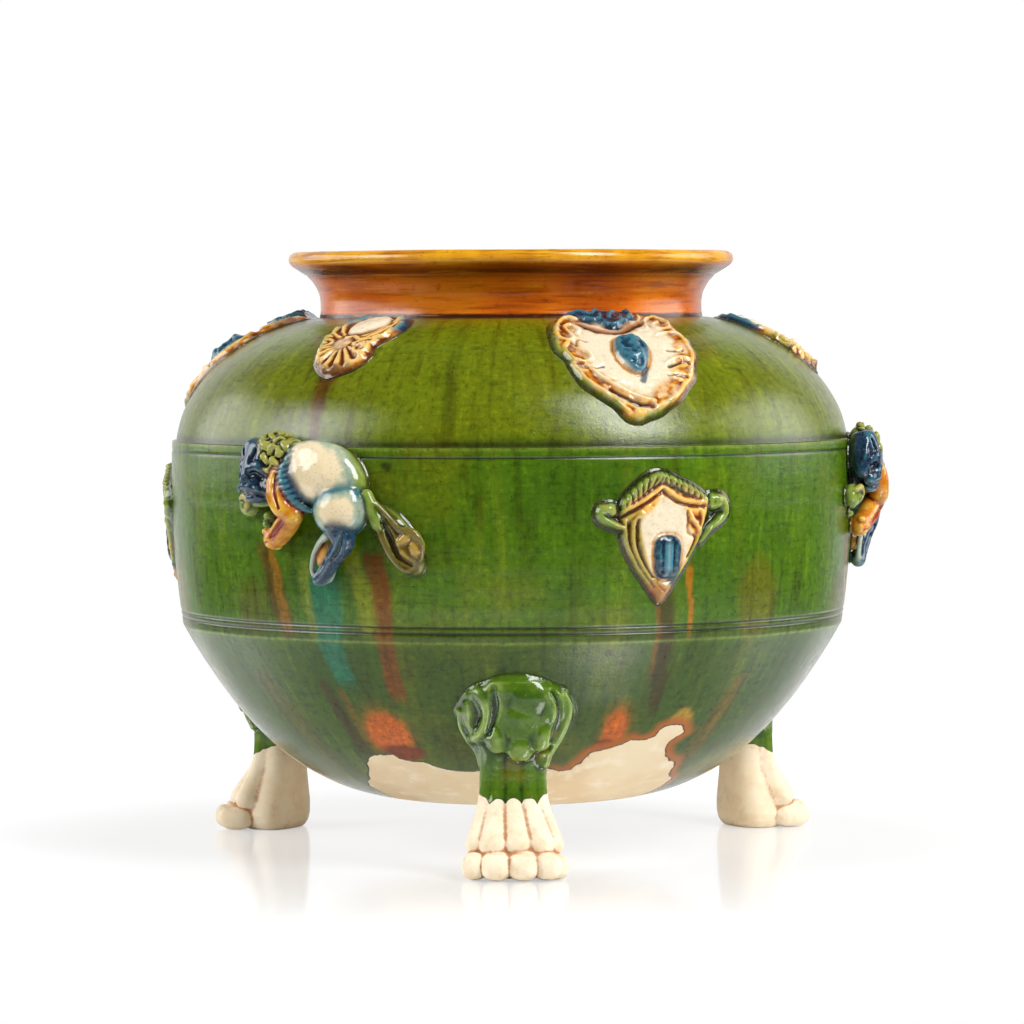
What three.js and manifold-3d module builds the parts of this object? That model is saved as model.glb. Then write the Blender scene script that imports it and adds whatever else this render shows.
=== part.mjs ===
// A tripod incense burner in lead-glazed earthenware: a wheel-thrown globular vessel with a waisted neck,
// three moulded legs that end in lion paws, and twelve press-moulded sprigs luted to its wall.
// Millimetres, +Z up. The origin is on the table, under the vessel's axis, and the front leg faces -Y.
import * as THREE from "three";
import { mergeVertices } from "three/addons/utils/BufferGeometryUtils.js";
import Module from "manifold-3d";

const wasm = await Module();
wasm.setup();

// Heights of the thrown vessel, each measured from the one below it
const UNDERSIDE_HEIGHT = 15.5;
const BOWL_HEIGHT = 57;
const BAND_HEIGHT = 59.8;
const SHOULDER_HEIGHT = 39.5;
const NECK_HEIGHT = 21.2;

// Radii of the thrown vessel
const UNDERSIDE_RADIUS = 34;
const BOWL_RIM_RADIUS = 107.8;
const BAND_RADIUS = 110.9;
const BAND_SWELL = 1.3;
const LEDGE_DEPTH = 1.3;
const NECK_RADIUS = 62.2;
const NECK_FOOT_FILLET = 1.3;
const RIM_RADIUS = 72.4;
const LIP_RADIUS = 2.7;
const LIP_FLAT = 2.2;

// Walls
const WALL = 6.5;
const FLOOR_WALL = 7.5;
const NECK_WALL = 5;

// Incised lines that frame the band, measured from the band's own edges
const LINE_WIDTH = 1.1;
const LINE_DEPTH = 0.7;
const TOP_LINE_DROP = 3.1;
const LOW_LINE_RISE = 2.9;
const LOW_LINE_SPACING = 1.9;
const NECK_LINE_DEPTH = 0.5;

// Legs
const LEG_COUNT = 3;
const KNEE_HEIGHT = 48.5;
const KNEE_WIDTH = 35;
const KNEE_LENGTH = 27;
const KNEE_PROUD = 8.6;
const SHANK_WIDTH = 19.8;
const SHANK_PROUD = 5;
const SHANK_DEPTH = 13.5;
const PAW_HEIGHT = 24;
const PAW_WIDTH = 30.8;
const TOE_REACH = 18.6;
const TOE_COUNT = 4;
const TOE_HEIGHT = 9;
const TOE_RELIEF = 2.4;

// Sprigs: where they sit, and how large they are
const SPRIG_COUNT = 3;
const SPRIG_EDGE = 1.4;
const MEDALLION_AZIMUTH = 24;
const MEDALLION_WIDTH = 46;
const MEDALLION_LENGTH = 56;
const MEDALLION_TILT = 10;
const MEDALLION_BOSS = { at: [1, 3], radii: [5.6, 8.2], rise: 3.6 };
const PALMETTE_AZIMUTH = -36;
const PALMETTE_WIDTH = 29;
const PALMETTE_LENGTH = 40;
const PALMETTE_TILT = -14;
const PALMETTE_SEED = { at: [0, 8], radii: [4, 7.5], rise: 1.4 };
const NECK_MARGIN = 2;
const PENDANT_AZIMUTH = 25;
const PENDANT_WIDTH = 33;
const PENDANT_LENGTH = 40;
const PENDANT_RISE = 33;
const PENDANT_CABOCHON = { at: [0, -5.5], radii: [4, 6.6], rise: 2.4 };
const LION_AZIMUTH = -33;
const LION_RISE = 42;

// Slip-thin joint between luted pieces
const SEAT_GAP = 0.3;

// Facets
const ROUND = 48;
const DEGREE = Math.PI / 180;

const GLAZES = {
  green: { color: 0x4c7a22, roughness: 0.22 },
  amber: { color: 0xb5651d, roughness: 0.22 },
  cream: { color: 0xecd7b0, roughness: 0.35 },
  blue: { color: 0x1f4a6b, roughness: 0.22 },
};

const bowlRimHeight = UNDERSIDE_HEIGHT + BOWL_HEIGHT;
const ledgeHeight = bowlRimHeight + BAND_HEIGHT;
const neckFootHeight = ledgeHeight + SHOULDER_HEIGHT;
const rimHeight = neckFootHeight + NECK_HEIGHT;
const mouthRadius = NECK_RADIUS - NECK_WALL;
const neckFootRadius = NECK_RADIUS + NECK_FOOT_FILLET;

const point = (radius, height) => new THREE.Vector2(radius, height);
const mix = THREE.MathUtils.lerp;

// Turned curves. Handles are shares of each curve's own run and rise.
function curveBetween(start, end, startHandle, endHandle) {
  const run = end.x - start.x;
  const rise = end.y - start.y;
  return new THREE.CubicBezierCurve(
    start,
    point(start.x + run * startHandle[0], start.y + rise * startHandle[1]),
    point(end.x - run * endHandle[0], end.y - rise * endHandle[1]),
    end,
  );
}

const bowlCurve = curveBetween(
  point(UNDERSIDE_RADIUS, UNDERSIDE_HEIGHT),
  point(BOWL_RIM_RADIUS, bowlRimHeight),
  [0.46, 0.02],
  [0.26, 0.6],
);
const bandCurve = new THREE.QuadraticBezierCurve(
  point(BOWL_RIM_RADIUS, bowlRimHeight),
  point(BAND_RADIUS + BAND_SWELL, bowlRimHeight + BAND_HEIGHT * 0.5),
  point(BAND_RADIUS, ledgeHeight),
);
const shoulderCurve = curveBetween(
  point(BAND_RADIUS - LEDGE_DEPTH, ledgeHeight),
  point(neckFootRadius, neckFootHeight),
  [0.03, 0.46],
  [0.55, 0.05],
);

// Rows of the band across its incised lines, the first one's middle at a rise above the bowl's rim
function incisedLines(rise, count = 1) {
  const rows = [];
  const at = (offset) => bandCurve.getPoint((rise + offset) / BAND_HEIGHT);
  rows.push({ at: at(-LINE_WIDTH / 2) });
  for (let i = 0; i < count; i++) {
    const floor = at(i * LOW_LINE_SPACING);
    rows.push({ at: point(floor.x - LINE_DEPTH, floor.y), sunk: true });
    if (i < count - 1) rows.push({ at: at((i + 0.5) * LOW_LINE_SPACING) });
  }
  rows.push({ at: at((count - 1) * LOW_LINE_SPACING + LINE_WIDTH / 2) });
  return rows;
}

// The vessel's outer profile from its underside to the foot of the neck. Sunk rows are left out of the seats.
function outerRows() {
  const rows = [];
  const bowlSteps = 7;
  for (let i = 0; i < bowlSteps; i++) rows.push({ at: bowlCurve.getPoint(i / bowlSteps) });
  rows.push({ at: bandCurve.getPoint(0) });
  rows.push(...incisedLines(LOW_LINE_RISE, 2));
  for (const share of [0.32, 0.6]) rows.push({ at: bandCurve.getPoint(share) });
  rows.push(...incisedLines(BAND_HEIGHT - TOP_LINE_DROP));
  rows.push({ at: bandCurve.getPoint(1) });
  rows.push({ at: shoulderCurve.getPoint(0), sunk: true });
  const shoulderSteps = 8;
  for (let i = 1; i <= shoulderSteps; i++) rows.push({ at: shoulderCurve.getPoint(i / shoulderSteps) });
  return rows;
}

const vesselRows = outerRows();
const skin = vesselRows.filter((row) => !row.sunk).map((row) => row.at);

// A profile moved along its own normals, outwards when the distance is positive
function offsetProfile(profile, distance) {
  return profile.map((p, i) => {
    const before = profile[Math.max(i - 1, 0)];
    const after = profile[Math.min(i + 1, profile.length - 1)];
    const along = after.clone().sub(before).normalize();
    return point(p.x + along.y * distance, p.y - along.x * distance);
  });
}

// Point and normal of the vessel's skin at a length along its profile
const skinLengths = skin.reduce((lengths, p, i) => {
  lengths.push(i ? lengths[i - 1] + p.distanceTo(skin[i - 1]) : 0);
  return lengths;
}, []);

function skinAt(length) {
  let i = 1;
  while (i < skin.length - 1 && skinLengths[i] < length) i++;
  const share = (length - skinLengths[i - 1]) / (skinLengths[i] - skinLengths[i - 1]);
  const at = skin[i - 1].clone().lerp(skin[i], share);
  const slopeOf = (k) => {
    const before = skin[Math.max(k - 1, 0)];
    const after = skin[Math.min(k + 1, skin.length - 1)];
    return after.clone().sub(before).normalize();
  };
  const along = slopeOf(i - 1).lerp(slopeOf(i), THREE.MathUtils.clamp(share, 0, 1)).normalize();
  return { at, along };
}

function skinLengthAtHeight(height) {
  let i = 1;
  while (i < skin.length - 1 && skin[i].y < height) i++;
  const share = (height - skin[i - 1].y) / (skin[i].y - skin[i - 1].y);
  return mix(skinLengths[i - 1], skinLengths[i], share);
}

// A place on the skin that a luted piece is laid out from
const anchorAt = (length, azimuth) => ({ length, turn: azimuth * DEGREE });

// Local axes there: u runs round the vessel, v up its profile and the normal off its surface
function skinFrame(anchor, u, v) {
  const { at, along } = skinAt(anchor.length + v);
  const angle = anchor.turn + u / at.x;
  const out = new THREE.Vector3(Math.sin(angle), -Math.cos(angle), 0);
  const round = new THREE.Vector3(Math.cos(angle), Math.sin(angle), 0);
  const up = out.clone().multiplyScalar(along.x).setZ(along.y);
  const normal = out.clone().multiplyScalar(along.y).setZ(-along.x);
  const origin = out.clone().multiplyScalar(at.x).setZ(at.y);
  return { origin, round, up, normal };
}

function onSkin(anchor, [u, v, h]) {
  const { origin, normal } = skinFrame(anchor, u, v);
  return origin.addScaledVector(normal, h);
}

// Solids
function solidOf(geometry) {
  const bare = geometry.clone();
  bare.deleteAttribute("normal");
  bare.deleteAttribute("uv");
  const merged = mergeVertices(bare, 1e-3);
  const mesh = new wasm.Mesh({
    numProp: 3,
    vertProperties: merged.attributes.position.array,
    triVerts: new Uint32Array(merged.index.array),
  });
  return new wasm.Manifold(mesh);
}

function geometryOf(solid) {
  const mesh = solid.getMesh();
  const geometry = new THREE.BufferGeometry();
  geometry.setAttribute("position", new THREE.BufferAttribute(new Float32Array(mesh.vertProperties), 3));
  geometry.setIndex(new THREE.BufferAttribute(new Uint32Array(mesh.triVerts), 1));
  geometry.computeVertexNormals();
  return geometry;
}

const join = (geometries) => geometries.map(solidOf).reduce((whole, solid) => whole.add(solid));

function revolve(profile, segments = ROUND) {
  return new THREE.LatheGeometry(profile, segments).rotateX(Math.PI / 2);
}

const centreOf = (ring) => ring.reduce((sum, p) => sum.add(p), new THREE.Vector3()).divideScalar(ring.length);

// A closed skin through rings of equal count, with a fan over each end
function loft(rings, firstCentre = centreOf(rings[0]), lastCentre = centreOf(rings.at(-1))) {
  const count = rings[0].length;
  const corners = rings.flat();
  const first = corners.push(firstCentre) - 1;
  const last = corners.push(lastCentre) - 1;
  const end = (rings.length - 1) * count;
  const index = [];
  for (let k = 0; k < count; k++) {
    const next = (k + 1) % count;
    for (let start = 0; start < end; start += count) {
      const [a, b] = [start + k, start + next];
      index.push(a, b, b + count, a, b + count, a + count);
    }
    index.push(first, next, k, last, end + k, end + next);
  }
  const geometry = new THREE.BufferGeometry().setFromPoints(corners);
  geometry.setIndex(index);
  return geometry;
}

// A round rod along a path, as thick at each of its points as the radius given there
function taperedRod(path, radii, sides, stepsEach = 2) {
  const curve = new THREE.CatmullRomCurve3(path);
  const steps = (path.length - 1) * stepsEach;
  const { normals, binormals } = curve.computeFrenetFrames(steps, false);
  const rings = [];
  for (let i = 0; i <= steps; i++) {
    const low = Math.min(Math.floor(i / stepsEach), radii.length - 2);
    const radius = mix(radii[low], radii[low + 1], i / stepsEach - low);
    const centre = curve.getPoint(i / steps);
    const ring = [];
    for (let k = 0; k < sides; k++) {
      const turn = (k / sides) * 2 * Math.PI;
      const across = normals[i].clone().multiplyScalar(Math.cos(turn) * radius);
      ring.push(across.addScaledVector(binormals[i], Math.sin(turn) * radius).add(centre));
    }
    rings.push(ring);
  }
  return loft(rings);
}

// An ellipsoid whose axes lie round, up and off the skin, turned about the last by some degrees
function lump(anchor, [u, v, h], radii, degrees = 0, around = 6, down = 5) {
  const { origin, round, up, normal } = skinFrame(anchor, u, v);
  round.applyAxisAngle(normal, degrees * DEGREE);
  up.applyAxisAngle(normal, degrees * DEGREE);
  const place = new THREE.Matrix4().makeBasis(round, up, normal).setPosition(origin.addScaledVector(normal, h));
  return new THREE.SphereGeometry(1, around, down)
    .rotateX(Math.PI / 2)
    .scale(...radii)
    .applyMatrix4(place);
}

// The vessel filled in and grown by the joint: it cuts a luted piece's back to fit
const envelope = solidOf(
  revolve([point(0, UNDERSIDE_HEIGHT - SEAT_GAP), ...offsetProfile(skin, SEAT_GAP), point(0, neckFootHeight)]),
);

// Vessel
function vesselBody() {
  const outer = vesselRows.map((row) => row.at);
  const innerFloor = UNDERSIDE_HEIGHT + FLOOR_WALL;
  const inner = offsetProfile(skin, -WALL).filter(
    (p, i) => i % 3 === 0 && p.y > innerFloor + 1 && p.x > mouthRadius + 1 && p.y < neckFootHeight - WALL,
  );
  const throat = [point(mouthRadius, neckFootHeight), point(mouthRadius, neckFootHeight - WALL)];
  const bottom = [point(UNDERSIDE_RADIUS * 0.9, innerFloor), point(0, innerFloor)];
  return revolve([point(0, UNDERSIDE_HEIGHT), ...outer, ...throat, ...inner.reverse(), ...bottom]);
}

function neckAndRim() {
  const foot = neckFootHeight + SEAT_GAP;
  const lipCentre = point(RIM_RADIUS - LIP_RADIUS, rimHeight - LIP_RADIUS);
  const flareEnd = point(lipCentre.x + LIP_RADIUS * 0.35, lipCentre.y - LIP_RADIUS * 0.94);
  const flare = curveBetween(
    point(NECK_RADIUS, foot + NECK_FOOT_FILLET * 1.6),
    flareEnd,
    [-0.04, 0.62],
    [0.6, 0.3],
  );
  const outer = [point(neckFootRadius, foot), point(NECK_RADIUS + NECK_FOOT_FILLET * 0.3, foot + NECK_FOOT_FILLET)];
  const flareSteps = 5;
  for (let i = 0; i < flareSteps; i++) outer.push(flare.getPoint(i / flareSteps));
  const lineShare = 0.72;
  const line = flare.getPoint(lineShare);
  outer.splice(-2, 1, point(line.x - NECK_LINE_DEPTH * 0.5, line.y + NECK_LINE_DEPTH));
  const lipSteps = 4;
  for (let i = 0; i <= lipSteps; i++) {
    const turn = mix(-70, 90, i / lipSteps) * DEGREE;
    outer.push(point(lipCentre.x + LIP_RADIUS * Math.cos(turn), lipCentre.y + LIP_RADIUS * Math.sin(turn)));
  }
  const lipInside = point(lipCentre.x - LIP_FLAT, rimHeight);
  const inside = curveBetween(lipInside, point(mouthRadius, foot + NECK_WALL), [0.5, 0.2], [0.02, 0.45]);
  const inner = [];
  const insideSteps = 3;
  for (let i = 0; i <= insideSteps; i++) inner.push(inside.getPoint(i / insideSteps));
  const whole = [...outer, ...inner, point(mouthRadius, foot)];
  return revolve([...whole, whole[0]]);
}

// Legs
const kneeRadius = skinAt(skinLengthAtHeight(KNEE_HEIGHT)).at.x;
const shankFront = kneeRadius + SHANK_PROUD;
const shankBack = shankFront - SHANK_DEPTH;
const kneeFront = kneeRadius + KNEE_PROUD;
const toeFront = kneeRadius + TOE_REACH;

// A smooth swelling round a middle, one high there and almost gone at its spread
const swelling = (distance, spread) => Math.exp(-2.5 * (distance / spread) ** 2);

// What stands out on the knee: a brow, a curl at each side and three folds under them
function kneeRelief(share, height) {
  const rise = (height - KNEE_HEIGHT) / KNEE_LENGTH;
  const side = Math.abs(share);
  const curl = 1.8 * swelling(Math.hypot(side - 0.72, rise * 1.4), 0.34);
  const brow = 1.1 * swelling(rise - 0.27, 0.16) * swelling(side, 0.8);
  const fold = 1.5 * swelling(rise + 0.36, 0.2) * Math.cos(side * 1.5 * Math.PI) ** 2;
  return curl + brow + fold;
}

// A level section of the leg: its front has the toes or the tendons above them, and its back is plain
function legSection(height, halfWidth, back, front, ridge) {
  const steps = TOE_COUNT * 4;
  const depth = front - back;
  const ring = [];
  for (let i = 0; i <= steps; i++) {
    const share = (i / steps) * 2 - 1;
    const toe = Math.abs(Math.sin((share + 1) * TOE_COUNT * Math.PI * 0.5)) ** 0.7;
    const bow = 0.42 + 0.58 * Math.sqrt(1 - Math.abs(share) ** 3);
    const relief = ridge * (toe - 1) + (height > PAW_HEIGHT ? kneeRelief(share, height) : 0);
    ring.push(new THREE.Vector3(share * halfWidth, -(back + depth * bow + relief), height));
  }
  for (const share of [0.93, 0.6, -0.6, -0.93]) {
    const inset = Math.abs(share) > 0.9 ? depth * 0.14 : 0;
    ring.push(new THREE.Vector3(share * halfWidth, -(back + inset), height));
  }
  return ring;
}

function pawLeg() {
  const [paw, shank, knee] = [PAW_WIDTH / 2, SHANK_WIDTH / 2, KNEE_WIDTH / 2];
  const chin = KNEE_HEIGHT - KNEE_LENGTH / 2;
  const brow = KNEE_HEIGHT + KNEE_LENGTH / 2;
  const instep = mix(shankFront, toeFront, 0.56);
  const section = (height, halfWidth, front, ridge, back = shankBack) =>
    legSection(height, halfWidth, back, front, ridge);
  const sections = [
    section(0, paw * 0.84, toeFront - 3.2, TOE_RELIEF * 0.5, shankBack + 1.2),
    section(TOE_HEIGHT * 0.16, paw * 0.95, toeFront - 0.7, TOE_RELIEF * 0.8),
    section(TOE_HEIGHT * 0.55, paw, toeFront, TOE_RELIEF),
    section(TOE_HEIGHT * 0.9, paw * 0.98, toeFront - 1.9, TOE_RELIEF),
    section(TOE_HEIGHT * 1.12, paw * 0.92, instep + 0.6, TOE_RELIEF * 0.8),
    section(mix(TOE_HEIGHT, PAW_HEIGHT, 0.38), paw * 0.84, instep - 1, TOE_RELIEF * 0.6),
    section(mix(TOE_HEIGHT, PAW_HEIGHT, 0.68), paw * 0.74, mix(shankFront, instep, 0.35), TOE_RELIEF * 0.5),
    section(PAW_HEIGHT, shank * 1.02, shankFront, TOE_RELIEF * 0.4),
    section(mix(PAW_HEIGHT, chin, 0.65), shank, shankFront - 0.4, TOE_RELIEF * 0.35),
    section(chin, shank * 1.12, shankFront, TOE_RELIEF * 0.2),
    section(chin + KNEE_LENGTH * 0.07, knee * 0.78, kneeFront - 1.4, 0),
    section(mix(chin, brow, 0.25), knee * 0.92, kneeFront, 0),
    section(mix(chin, brow, 0.5), knee, kneeFront, 0),
    section(mix(chin, brow, 0.75), knee * 0.95, kneeFront, 0),
    section(mix(chin, brow, 0.9), knee * 0.8, kneeFront + 0.2, 0),
    section(brow + KNEE_LENGTH * 0.06, knee * 0.5, kneeFront - 1, 0),
  ];
  return solidOf(loft(sections)).subtract(envelope);
}

// Sprigs
// A low relief on the skin. Its back follows the skin, its edge stands up, and rings of its outline
// shrink towards a boss, each point as high as heightAt says for its share of the outline.
function relief(anchor, around, outline, shares, heightAt, boss) {
  const ring = (place) =>
    Array.from({ length: around }, (_, k) => onSkin(anchor, place((k / around) * 2 * Math.PI)));
  const shrunk = (share, height) => (turn) => {
    const [u, v] = outline(turn);
    const [bossU, bossV] = boss.at;
    return [mix(bossU, u, share), mix(bossV, v, share), height ?? heightAt(share, turn)];
  };
  const rings = [];
  const backSteps = 4;
  for (let i = 1; i <= backSteps; i++) rings.push(ring(shrunk(i / backSteps, SEAT_GAP)));
  rings.push(ring(shrunk(1, SPRIG_EDGE)));
  for (const share of shares) rings.push(ring(shrunk(share)));
  const foot = heightAt(0, 0);
  const bossSteps = 3;
  for (let i = 0; i < bossSteps; i++) {
    const slope = (i / bossSteps) * 0.5 * Math.PI;
    const reach = Math.cos(slope);
    const height = foot + boss.rise * Math.sin(slope);
    rings.push(
      ring((turn) => [
        boss.at[0] + boss.radii[0] * reach * Math.sin(turn),
        boss.at[1] - boss.radii[1] * reach * Math.cos(turn),
        height,
      ]),
    );
  }
  return loft(rings, onSkin(anchor, [...boss.at, SEAT_GAP]), onSkin(anchor, [...boss.at, foot + boss.rise]));
}

// A drop with its point down. The turn starts at the point and goes round by the right.
function drop(width, length, sharpness, lobes, lobeDepth) {
  return (turn) => {
    const lobe = 1 + lobeDepth * Math.cos(lobes * turn);
    const narrowing = Math.sin(turn / 2) ** sharpness;
    return [(width / 2) * Math.sin(turn) * narrowing * lobe, -(length / 2) * Math.cos(turn) * lobe];
  };
}

function tilted(outline, degrees) {
  const [c, s] = [Math.cos(degrees * DEGREE), Math.sin(degrees * DEGREE)];
  return (turn) => {
    const [u, v] = outline(turn);
    return [u * c + v * s, v * c - u * s];
  };
}

const bandAnchor = (rise, azimuth) => anchorAt(skinLengthAtHeight(bowlRimHeight + rise), azimuth);
const shoulderAnchor = (length, azimuth) =>
  anchorAt(skinLengthAtHeight(neckFootHeight) - NECK_MARGIN - length / 2, azimuth);

// The large medallion: a scrolled border round a plain field, a boss and a crest at the neck
function medallion() {
  const anchor = shoulderAnchor(MEDALLION_LENGTH, MEDALLION_AZIMUTH);
  const scrolls = 8;
  const outline = tilted(drop(MEDALLION_WIDTH, MEDALLION_LENGTH, 0.3, scrolls, 0.03), MEDALLION_TILT);
  const heightAt = (share, turn) => {
    const border = 1.4 * swelling(share - 0.86, 0.16) * (1 + 0.3 * Math.cos(scrolls * turn));
    const crest = 1.6 * swelling(turn - Math.PI, 0.6) * swelling(share - 0.9, 0.25);
    return SPRIG_EDGE + 0.5 + border + crest;
  };
  return relief(anchor, 26, outline, [0.94, 0.82, 0.7, 0.48], heightAt, MEDALLION_BOSS);
}

// The small palmette: a fluted shell at its tip, a waist with a curl at each side and a leafy top
function palmette() {
  const anchor = shoulderAnchor(PALMETTE_LENGTH, PALMETTE_AZIMUTH);
  const flutes = 8;
  const plain = (turn) => {
    const waist = 1 - 0.16 * swelling(Math.cos(turn) - 0.05, 0.3);
    return [(PALMETTE_WIDTH / 2) * Math.sin(turn) * waist, -(PALMETTE_LENGTH / 2) * Math.cos(turn)];
  };
  const heightAt = (share, turn) => {
    const shell = 0.45 * Math.max(Math.cos(turn), 0) * Math.cos(flutes * turn) * share;
    return SPRIG_EDGE + 0.8 + shell;
  };
  return relief(anchor, 20, tilted(plain, PALMETTE_TILT), [0.92, 0.6], heightAt, PALMETTE_SEED);
}

// The pendant on the band: a pointed shield under a beaded cap, with a cabochon and a hook at each side
function pendant() {
  const anchor = bandAnchor(PENDANT_RISE, PENDANT_AZIMUTH);
  const beads = 14;
  const shield = drop(PENDANT_WIDTH, PENDANT_LENGTH, 0.45, 3, -0.03);
  const heightAt = (share, turn) => {
    const frame = 1.3 * swelling(share - 0.8, 0.16);
    const beading = turn > 2 && turn < 4.3 ? 0.5 * Math.cos(beads * turn) * swelling(share - 0.92, 0.1) : 0;
    return SPRIG_EDGE + 0.9 + frame + beading + (1 - share);
  };
  const plate = relief(anchor, 26, shield, [0.93, 0.8, 0.66], heightAt, PENDANT_CABOCHON);
  const half = PENDANT_WIDTH / 2;
  const radii = [1.5, 2, 2.5, 1.7];
  const hooks = [-1, 1].map((side) => {
    const path = [
      [side * half * 0.8, -2],
      [side * half * 1.12, 2],
      [side * half * 1.34, 6.5],
      [side * half * 1.18, 10],
    ];
    const lifted = path.map(([u, v], i) => onSkin(anchor, [u, v, radii[i] + SEAT_GAP]));
    return taperedRod(lifted, radii, 6, 1);
  });
  return join([plate, ...hooks]);
}

// The lion on the band: it strides with its head turned out and its tail curled
function lion() {
  const anchor = bandAnchor(LION_RISE, LION_AZIMUTH);
  const mass = (...shape) => lump(anchor, ...shape);
  const limb = (path, radii) => taperedRod(path.map((place) => onSkin(anchor, place)), radii, 6, 1);
  const flank = mass([6, 8.5, 2], [16, 10.5, 6.4], -24, 10, 6);
  const haunch = mass([12.5, -1, 3.4], [8.4, 9.2, 5.8], -20, 8, 6);
  const collar = mass([-1.5, 8, 4], [4, 9.5, 5], 14);
  const head = mass([-13.5, 9.5, 5], [6.8, 9.4, 8], 18, 8, 7);
  const muzzle = mass([-11.2, 2.6, 8.5], [4.6, 4, 4.2], 18);
  const brow = mass([-18, 13, 8], [3.4, 3, 3.4]);
  const curls = [
    mass([-12.5, 17.4, 5], [4.4, 3.6, 4.6], 0, 6, 4),
    mass([-6, 17, 4], [4.2, 3.6, 4], 0, 6, 4),
    mass([-6.5, 11, 5.5], [3, 4.2, 4], 0, 6, 4),
  ];
  const foreleg = limb([[-5.5, 6, 5], [-4.2, -1.5, 4.5], [-7, -5.5, 3.8], [-13, -8.6, 2.8]], [3.6, 3.4, 3.1, 2.9]);
  const raisedLeg = limb([[-8, 4, 3.5], [-14, 2.5, 3.2], [-18, 1.6, 2.6], [-21.5, 1.6, 2]], [3, 2.8, 3.6, 2]);
  const hindLeg = limb([[13, -6, 4.5], [13, -11, 3.8], [9.5, -15.5, 3.2], [5.6, -19.5, 2.4]], [5.4, 4.4, 3.5, 2.8]);
  const farLeg = limb([[7, -7, 3], [4.4, -12.5, 2.4], [4.6, -18.5, 2]], [3, 2.3, 2.2]);
  const tail = limb([[20.5, 2, 2.8], [25, -5.5, 2.4], [28.5, -12.5, 2.2], [32, -15.5, 2]], [3.8, 3.2, 2.8, 2.4]);
  const tailCurl = mass([33.4, -11, 1.8], [4.9, 5.4, 3.4], -10, 7, 5);
  const limbs = [foreleg, raisedLeg, hindLeg, farLeg, tail, tailCurl];
  return join([flank, haunch, collar, head, muzzle, brow, ...curls, ...limbs]).subtract(envelope);
}

// Assembly
const censer = new THREE.Group();

function add(name, geometry, glaze, degrees = 0) {
  const material = new THREE.MeshStandardMaterial({ ...GLAZES[glaze], metalness: 0 });
  const mesh = new THREE.Mesh(geometry, material);
  mesh.name = name;
  mesh.rotation.z = degrees * DEGREE;
  censer.add(mesh);
}

// Copies from one mould, evenly round the vessel
function addRound(name, count, geometry, glaze) {
  for (let i = 0; i < count; i++) add(`${name}_${i + 1}`, geometry, glaze, (i * 360) / count);
}

add("vessel_body", vesselBody(), "green");
add("neck_and_rim", neckAndRim(), "amber");
addRound("paw_leg", LEG_COUNT, geometryOf(pawLeg()), "green");
addRound("shoulder_medallion", SPRIG_COUNT, medallion(), "cream");
addRound("shoulder_palmette", SPRIG_COUNT, palmette(), "amber");
addRound("band_pendant", SPRIG_COUNT, geometryOf(pendant()), "amber");
addRound("band_lion", SPRIG_COUNT, geometryOf(lion()), "blue");

export default censer;
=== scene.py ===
"""Looks of the tripod incense burner: glazed vessel, neck, paw legs and press-moulded sprigs.

Shapes are laid out in millimetres and made in metres. Azimuth is in degrees, 0 at the front (-Y) and
growing towards +X. A sprig is laid out on the vessel's skin: u runs round it, v up it and h off it.
"""

import bpy
import numpy as np
from mathutils import Matrix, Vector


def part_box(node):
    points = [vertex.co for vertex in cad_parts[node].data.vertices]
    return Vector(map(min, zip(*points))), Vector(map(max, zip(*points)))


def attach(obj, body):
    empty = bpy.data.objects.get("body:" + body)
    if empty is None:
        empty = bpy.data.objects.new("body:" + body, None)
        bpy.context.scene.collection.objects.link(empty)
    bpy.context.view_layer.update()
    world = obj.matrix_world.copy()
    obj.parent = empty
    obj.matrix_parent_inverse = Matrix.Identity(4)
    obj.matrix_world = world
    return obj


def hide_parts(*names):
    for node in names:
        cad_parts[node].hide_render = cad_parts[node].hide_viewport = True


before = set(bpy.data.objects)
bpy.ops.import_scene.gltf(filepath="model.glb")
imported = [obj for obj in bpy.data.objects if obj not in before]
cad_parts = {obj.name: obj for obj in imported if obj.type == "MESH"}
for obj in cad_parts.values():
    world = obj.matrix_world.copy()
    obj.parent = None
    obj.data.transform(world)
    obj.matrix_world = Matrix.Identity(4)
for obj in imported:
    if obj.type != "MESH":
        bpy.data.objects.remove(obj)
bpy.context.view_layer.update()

MM = 0.001
SETS = 3
THIRD = 360 / SETS

# Heights and radii of the thrown vessel
vessel_low, vessel_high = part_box("vessel_body")
neck_low, neck_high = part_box("neck_and_rim")
UNDERSIDE_HEIGHT = vessel_low.z / MM
NECK_FOOT_HEIGHT = vessel_high.z / MM
RIM_HEIGHT = neck_high.z / MM
BOWL_RIM_HEIGHT = 72.5
LEDGE_HEIGHT = 132.3
UNDERSIDE_RADIUS = 34
BOWL_RIM_RADIUS = 107.8
BAND_RADIUS = 110.9
LEDGE_DEPTH = 1.3
NECK_FOOT_RADIUS = 63.5
RIM_RADIUS = 72.4
MOUTH_RADIUS = 57.2
WALL = 6.5

# Glazes and clay, as linear colours. Deep is where a glaze pools, thin where it slips off a ridge.
GLAZES = {
    "green": {"deep": (0.010, 0.026, 0.002), "body": (0.050, 0.115, 0.005), "thin": (0.22, 0.31, 0.05)},
    "amber": {"deep": (0.13, 0.020, 0.003), "body": (0.54, 0.165, 0.009), "thin": (0.84, 0.50, 0.12)},
    "cream": {"deep": (0.60, 0.28, 0.07), "body": (0.82, 0.71, 0.51), "thin": (0.88, 0.80, 0.63)},
    "blue": {"deep": (0.003, 0.012, 0.034), "body": (0.009, 0.046, 0.096), "thin": (0.06, 0.22, 0.29)},
    "olive": {"deep": (0.018, 0.014, 0.001), "body": (0.120, 0.105, 0.006), "thin": (0.42, 0.36, 0.08)},
}
# Near black: glaze pooled in incised lines; round a sprig's foot it stands for both pooled glaze and painted
# shade along the outline.
POOLED_AND_SHADED = (0.010, 0.012, 0.004)
NECK_FOOT_BROWN = (0.10, 0.032, 0.010)


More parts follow.
